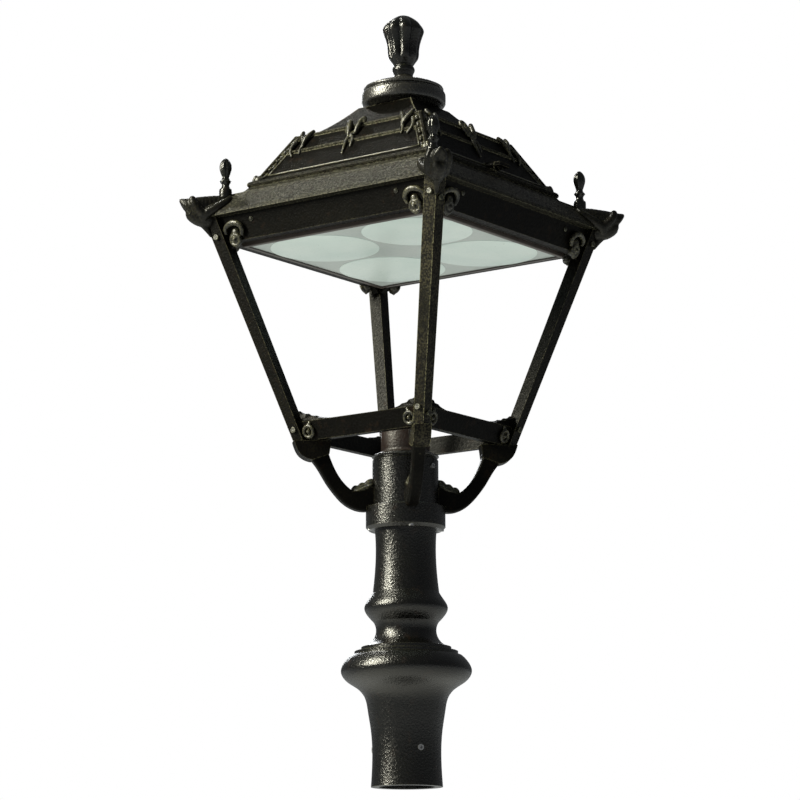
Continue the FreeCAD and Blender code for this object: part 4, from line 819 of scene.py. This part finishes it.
def rail_end_work(strokes, height, reach):
    """Beads of strokes at both ends of a rail, each at a distance from the rail's middle."""
    shapes = []
    for side in (-1, 1):
        moved = [[(side * (reach - x), y, d, r) for x, y, d, r in stroke] for stroke in strokes]
        shapes.append(strokes_shape(moved, on_rail(height)))
    return merged(shapes)


WORK_HALF = 12
SCROLL_GAP = 7.5
SCROLL_RISE = 2
ROSETTE_GAP = 1.5
ROSETTE_RISE = 14

scroll_height = RAIL_FOOT + SCROLL_RISE
scroll_reach = post_half(scroll_height) - UPPER_POST_LEG - WORK_HALF - SCROLL_GAP
scroll_beads = rail_end_work(scroll_strokes(), scroll_height, scroll_reach)
scroll_work = sculpted("scroll_work", scroll_beads, voxel=1.0, rounds=2)
piece("rail_scrolls", around_sides(scroll_work), "lantern", "cast_lantern", LEAF, "scroll_bosses")


def rosette_strokes():
    """Ring round a knob, with a stub above and below."""
    ring = spiral(9.2, 9.2, 0, 1.0, thick=2.9, thin=2.9, depth=3.2, rise=0, steps=28)
    knob = [(0, 0, 1.5, 4.5), (0, 0, 4.2, 3.4)]
    stub_above, stub_below = [(0, 9, 1, 4), (3, 14, 0.5, 3)], [(0, -9, 1, 4)]
    return [ring, knob, stub_above, stub_below]


rosette_height = POST_FOOT + ROSETTE_RISE
rosette_reach = post_half(rosette_height) - POST_LEG - WORK_HALF - ROSETTE_GAP
rosette_beads = rail_end_work(rosette_strokes(), rosette_height, rosette_reach)
rosette_work = sculpted("rosette_work", rosette_beads, voxel=0.9, rounds=2)
piece("rail_rosettes", around_sides(rosette_work), "lantern", "cast_lantern", LEAF, "lower_rosettes")


# ---- Lobed brackets in the corners between posts and rails ----
BRACKET_DEPTH = -9.5
BRACKET_THICKNESS = 9.0
# The rim of a bracket, as (distance from its face, how far the outline shrinks there)
BRACKET_RIM = ((0, 1.2), (0.6, 0.35), (1.5, 0))
LEAST_LENGTH = 0.1
LOWER_BRACKET_INSET = 20.3
UPPER_BRACKET_INSET = 23.5


def bracket(outline, reach, place):
    """Plate with rounded rims from an outline of (along the rail from the post, up)."""
    far_rim = [(BRACKET_THICKNESS - offset, shrink) for offset, shrink in reversed(BRACKET_RIM)]
    middle_x = sum(x for x, y in outline) / len(outline)
    middle_y = sum(y for x, y in outline) / len(outline)
    rings = []
    for offset, shrink in (*BRACKET_RIM, *far_rim):
        ring = []
        for x, y in outline:
            away = Vector((x - middle_x, y - middle_y))
            length = max(away.length, LEAST_LENGTH)
            scale = max(length - shrink, LEAST_LENGTH) / length
            ring.append(place(reach - (middle_x + away.x * scale), middle_y + away.y * scale,
                              BRACKET_DEPTH + offset))
        rings.append(ring)
    return ring_grid(rings)


def rail_brackets():
    """One side's brackets: above the ends of its lower rail and under those of its upper one."""
    shapes = []
    lower = smooth_path([(-1.5, 17), (3, 13.5), (9, 11.5), (15, 11), (19, 7.5), (24, 6), (31, 6),
                         (37, 3.2), (46, 1.2), (58, -0.6)], 4)
    lower += [(58, -5), (-1.5, -5)]
    upper = smooth_path([(-1.5, -21), (2, -13), (6, -8), (12, -4), (22, -0.8), (30, 0.6)], 4)
    upper += [(30, 5), (-1.5, 5)]
    for side in (-1, 1):
        for outline, height, inset in ((lower, LOWER_RAIL_TOP, LOWER_BRACKET_INSET),
                                       (upper, RAIL_FOOT, UPPER_BRACKET_INSET)):
            shape = bracket(outline, post_half(height) - inset, on_rail(height))
            shapes.append(shape if side == 1 else mirror_x(shape))
    return merged(shapes)


piece("rail_brackets", around_sides(rail_brackets()), "lantern", "cast_lantern", CAST)


# ---- Stage, light and camera ----
FLOOR_HALF = 400.0
FLOOR_HEIGHT = -3.0
FLOOR_GLOW = 0.30
STUDIO_LIGHT = 0.13

floor_mesh = bpy.data.meshes.new("floor")
floor_mesh.from_pydata([(x * FLOOR_HALF, y * FLOOR_HALF, FLOOR_HEIGHT)
                        for x, y in ((-1, -1), (1, -1), (1, 1), (-1, 1))], [], [(0, 1, 2, 3)])
floor = bpy.data.objects.new("floor", floor_mesh)
bpy.context.scene.collection.objects.link(floor)
floor_finish = plain_finish("floor_paint", (0.80, 0.80, 0.79), 0.9, 0.0, 2.0, 0.02, 0.001)
floor_shader = floor_finish.node_tree.nodes["Principled BSDF"]
floor_shader.inputs["Specular IOR Level"].default_value = 0.0
floor_shader.inputs["Emission Color"].default_value = (0.96, 1.0, 0.98, 1)
floor_shader.inputs["Emission Strength"].default_value = FLOOR_GLOW
paint(floor, floor_finish)

# The world lights the object softly, and is plain white where the camera sees it
world = bpy.data.worlds.new("studio")
bpy.context.scene.world = world
world.use_nodes = True
sky = world.node_tree
soft = sky.nodes["Background"]
soft.inputs["Color"].default_value = (0.92, 0.96, 1.0, 1)
soft.inputs["Strength"].default_value = STUDIO_LIGHT
backdrop = sky.nodes.new("ShaderNodeBackground")
backdrop.inputs["Color"].default_value = (1, 1, 1, 1)
backdrop.inputs["Strength"].default_value = 1.0
switch = sky.nodes.new("ShaderNodeMixShader")
rays = sky.nodes.new("ShaderNodeLightPath")
sky.links.new(rays.outputs["Is Camera Ray"], switch.inputs[0])
sky.links.new(soft.outputs[0], switch.inputs[1])
sky.links.new(backdrop.outputs[0], switch.inputs[2])
sky.links.new(switch.outputs[0], sky.nodes["World Output"].inputs["Surface"])


LIGHT_TARGET = (0, 0, 0.85)


def softbox(name, place, size, power, colour):
    """Rectangular light that faces the lantern and that the camera doesn't see."""
    light = bpy.data.lights.new(name, "AREA")
    light.shape = "RECTANGLE"
    light.size, light.size_y = size
    light.energy = power
    light.color = colour
    obj = bpy.data.objects.new(name, light)
    obj.location = place
    aim = Vector(LIGHT_TARGET) - Vector(place)
    obj.rotation_euler = aim.to_track_quat("-Z", "Y").to_euler()
    obj.visible_camera = False
    bpy.context.scene.collection.objects.link(obj)


softbox("key", (-2.3, -3.4, 3.2), (0.34, 3.4), 700, (1.0, 0.97, 0.80))
softbox("side", (-3.1, 1.15, 5.1), (0.5, 0.5), 36, (1.0, 0.99, 0.90))
softbox("back", (-3.0, 3.2, 2.2), (1.6, 1.6), 60, (0.95, 0.98, 1.0))

# The camera as fitted to the photograph, in metres, degrees and millimetres of lens
CAMERA_SPOT = (2.948, -4.035, -0.340)
CAMERA_HEADING = 36.248
CAMERA_PITCH = 11.022
CAMERA_ROLL = -0.26
CAMERA_LENS = 139.3
CAMERA_SENSOR = 36.0

camera_data = bpy.data.cameras.new("camera")
camera_data.sensor_width = CAMERA_SENSOR
camera_data.lens = CAMERA_LENS
camera = bpy.data.objects.new("camera", camera_data)
camera.matrix_world = (Matrix.Translation(CAMERA_SPOT)
                       @ Matrix.Rotation(math.radians(CAMERA_HEADING), 4, "Z")
                       @ Matrix.Rotation(math.pi / 2 + math.radians(CAMERA_PITCH), 4, "X")
                       @ Matrix.Rotation(math.radians(CAMERA_ROLL), 4, "Z"))
bpy.context.scene.collection.objects.link(camera)
bpy.context.scene.camera = camera
bpy.context.scene.view_settings.view_transform = "Standard"
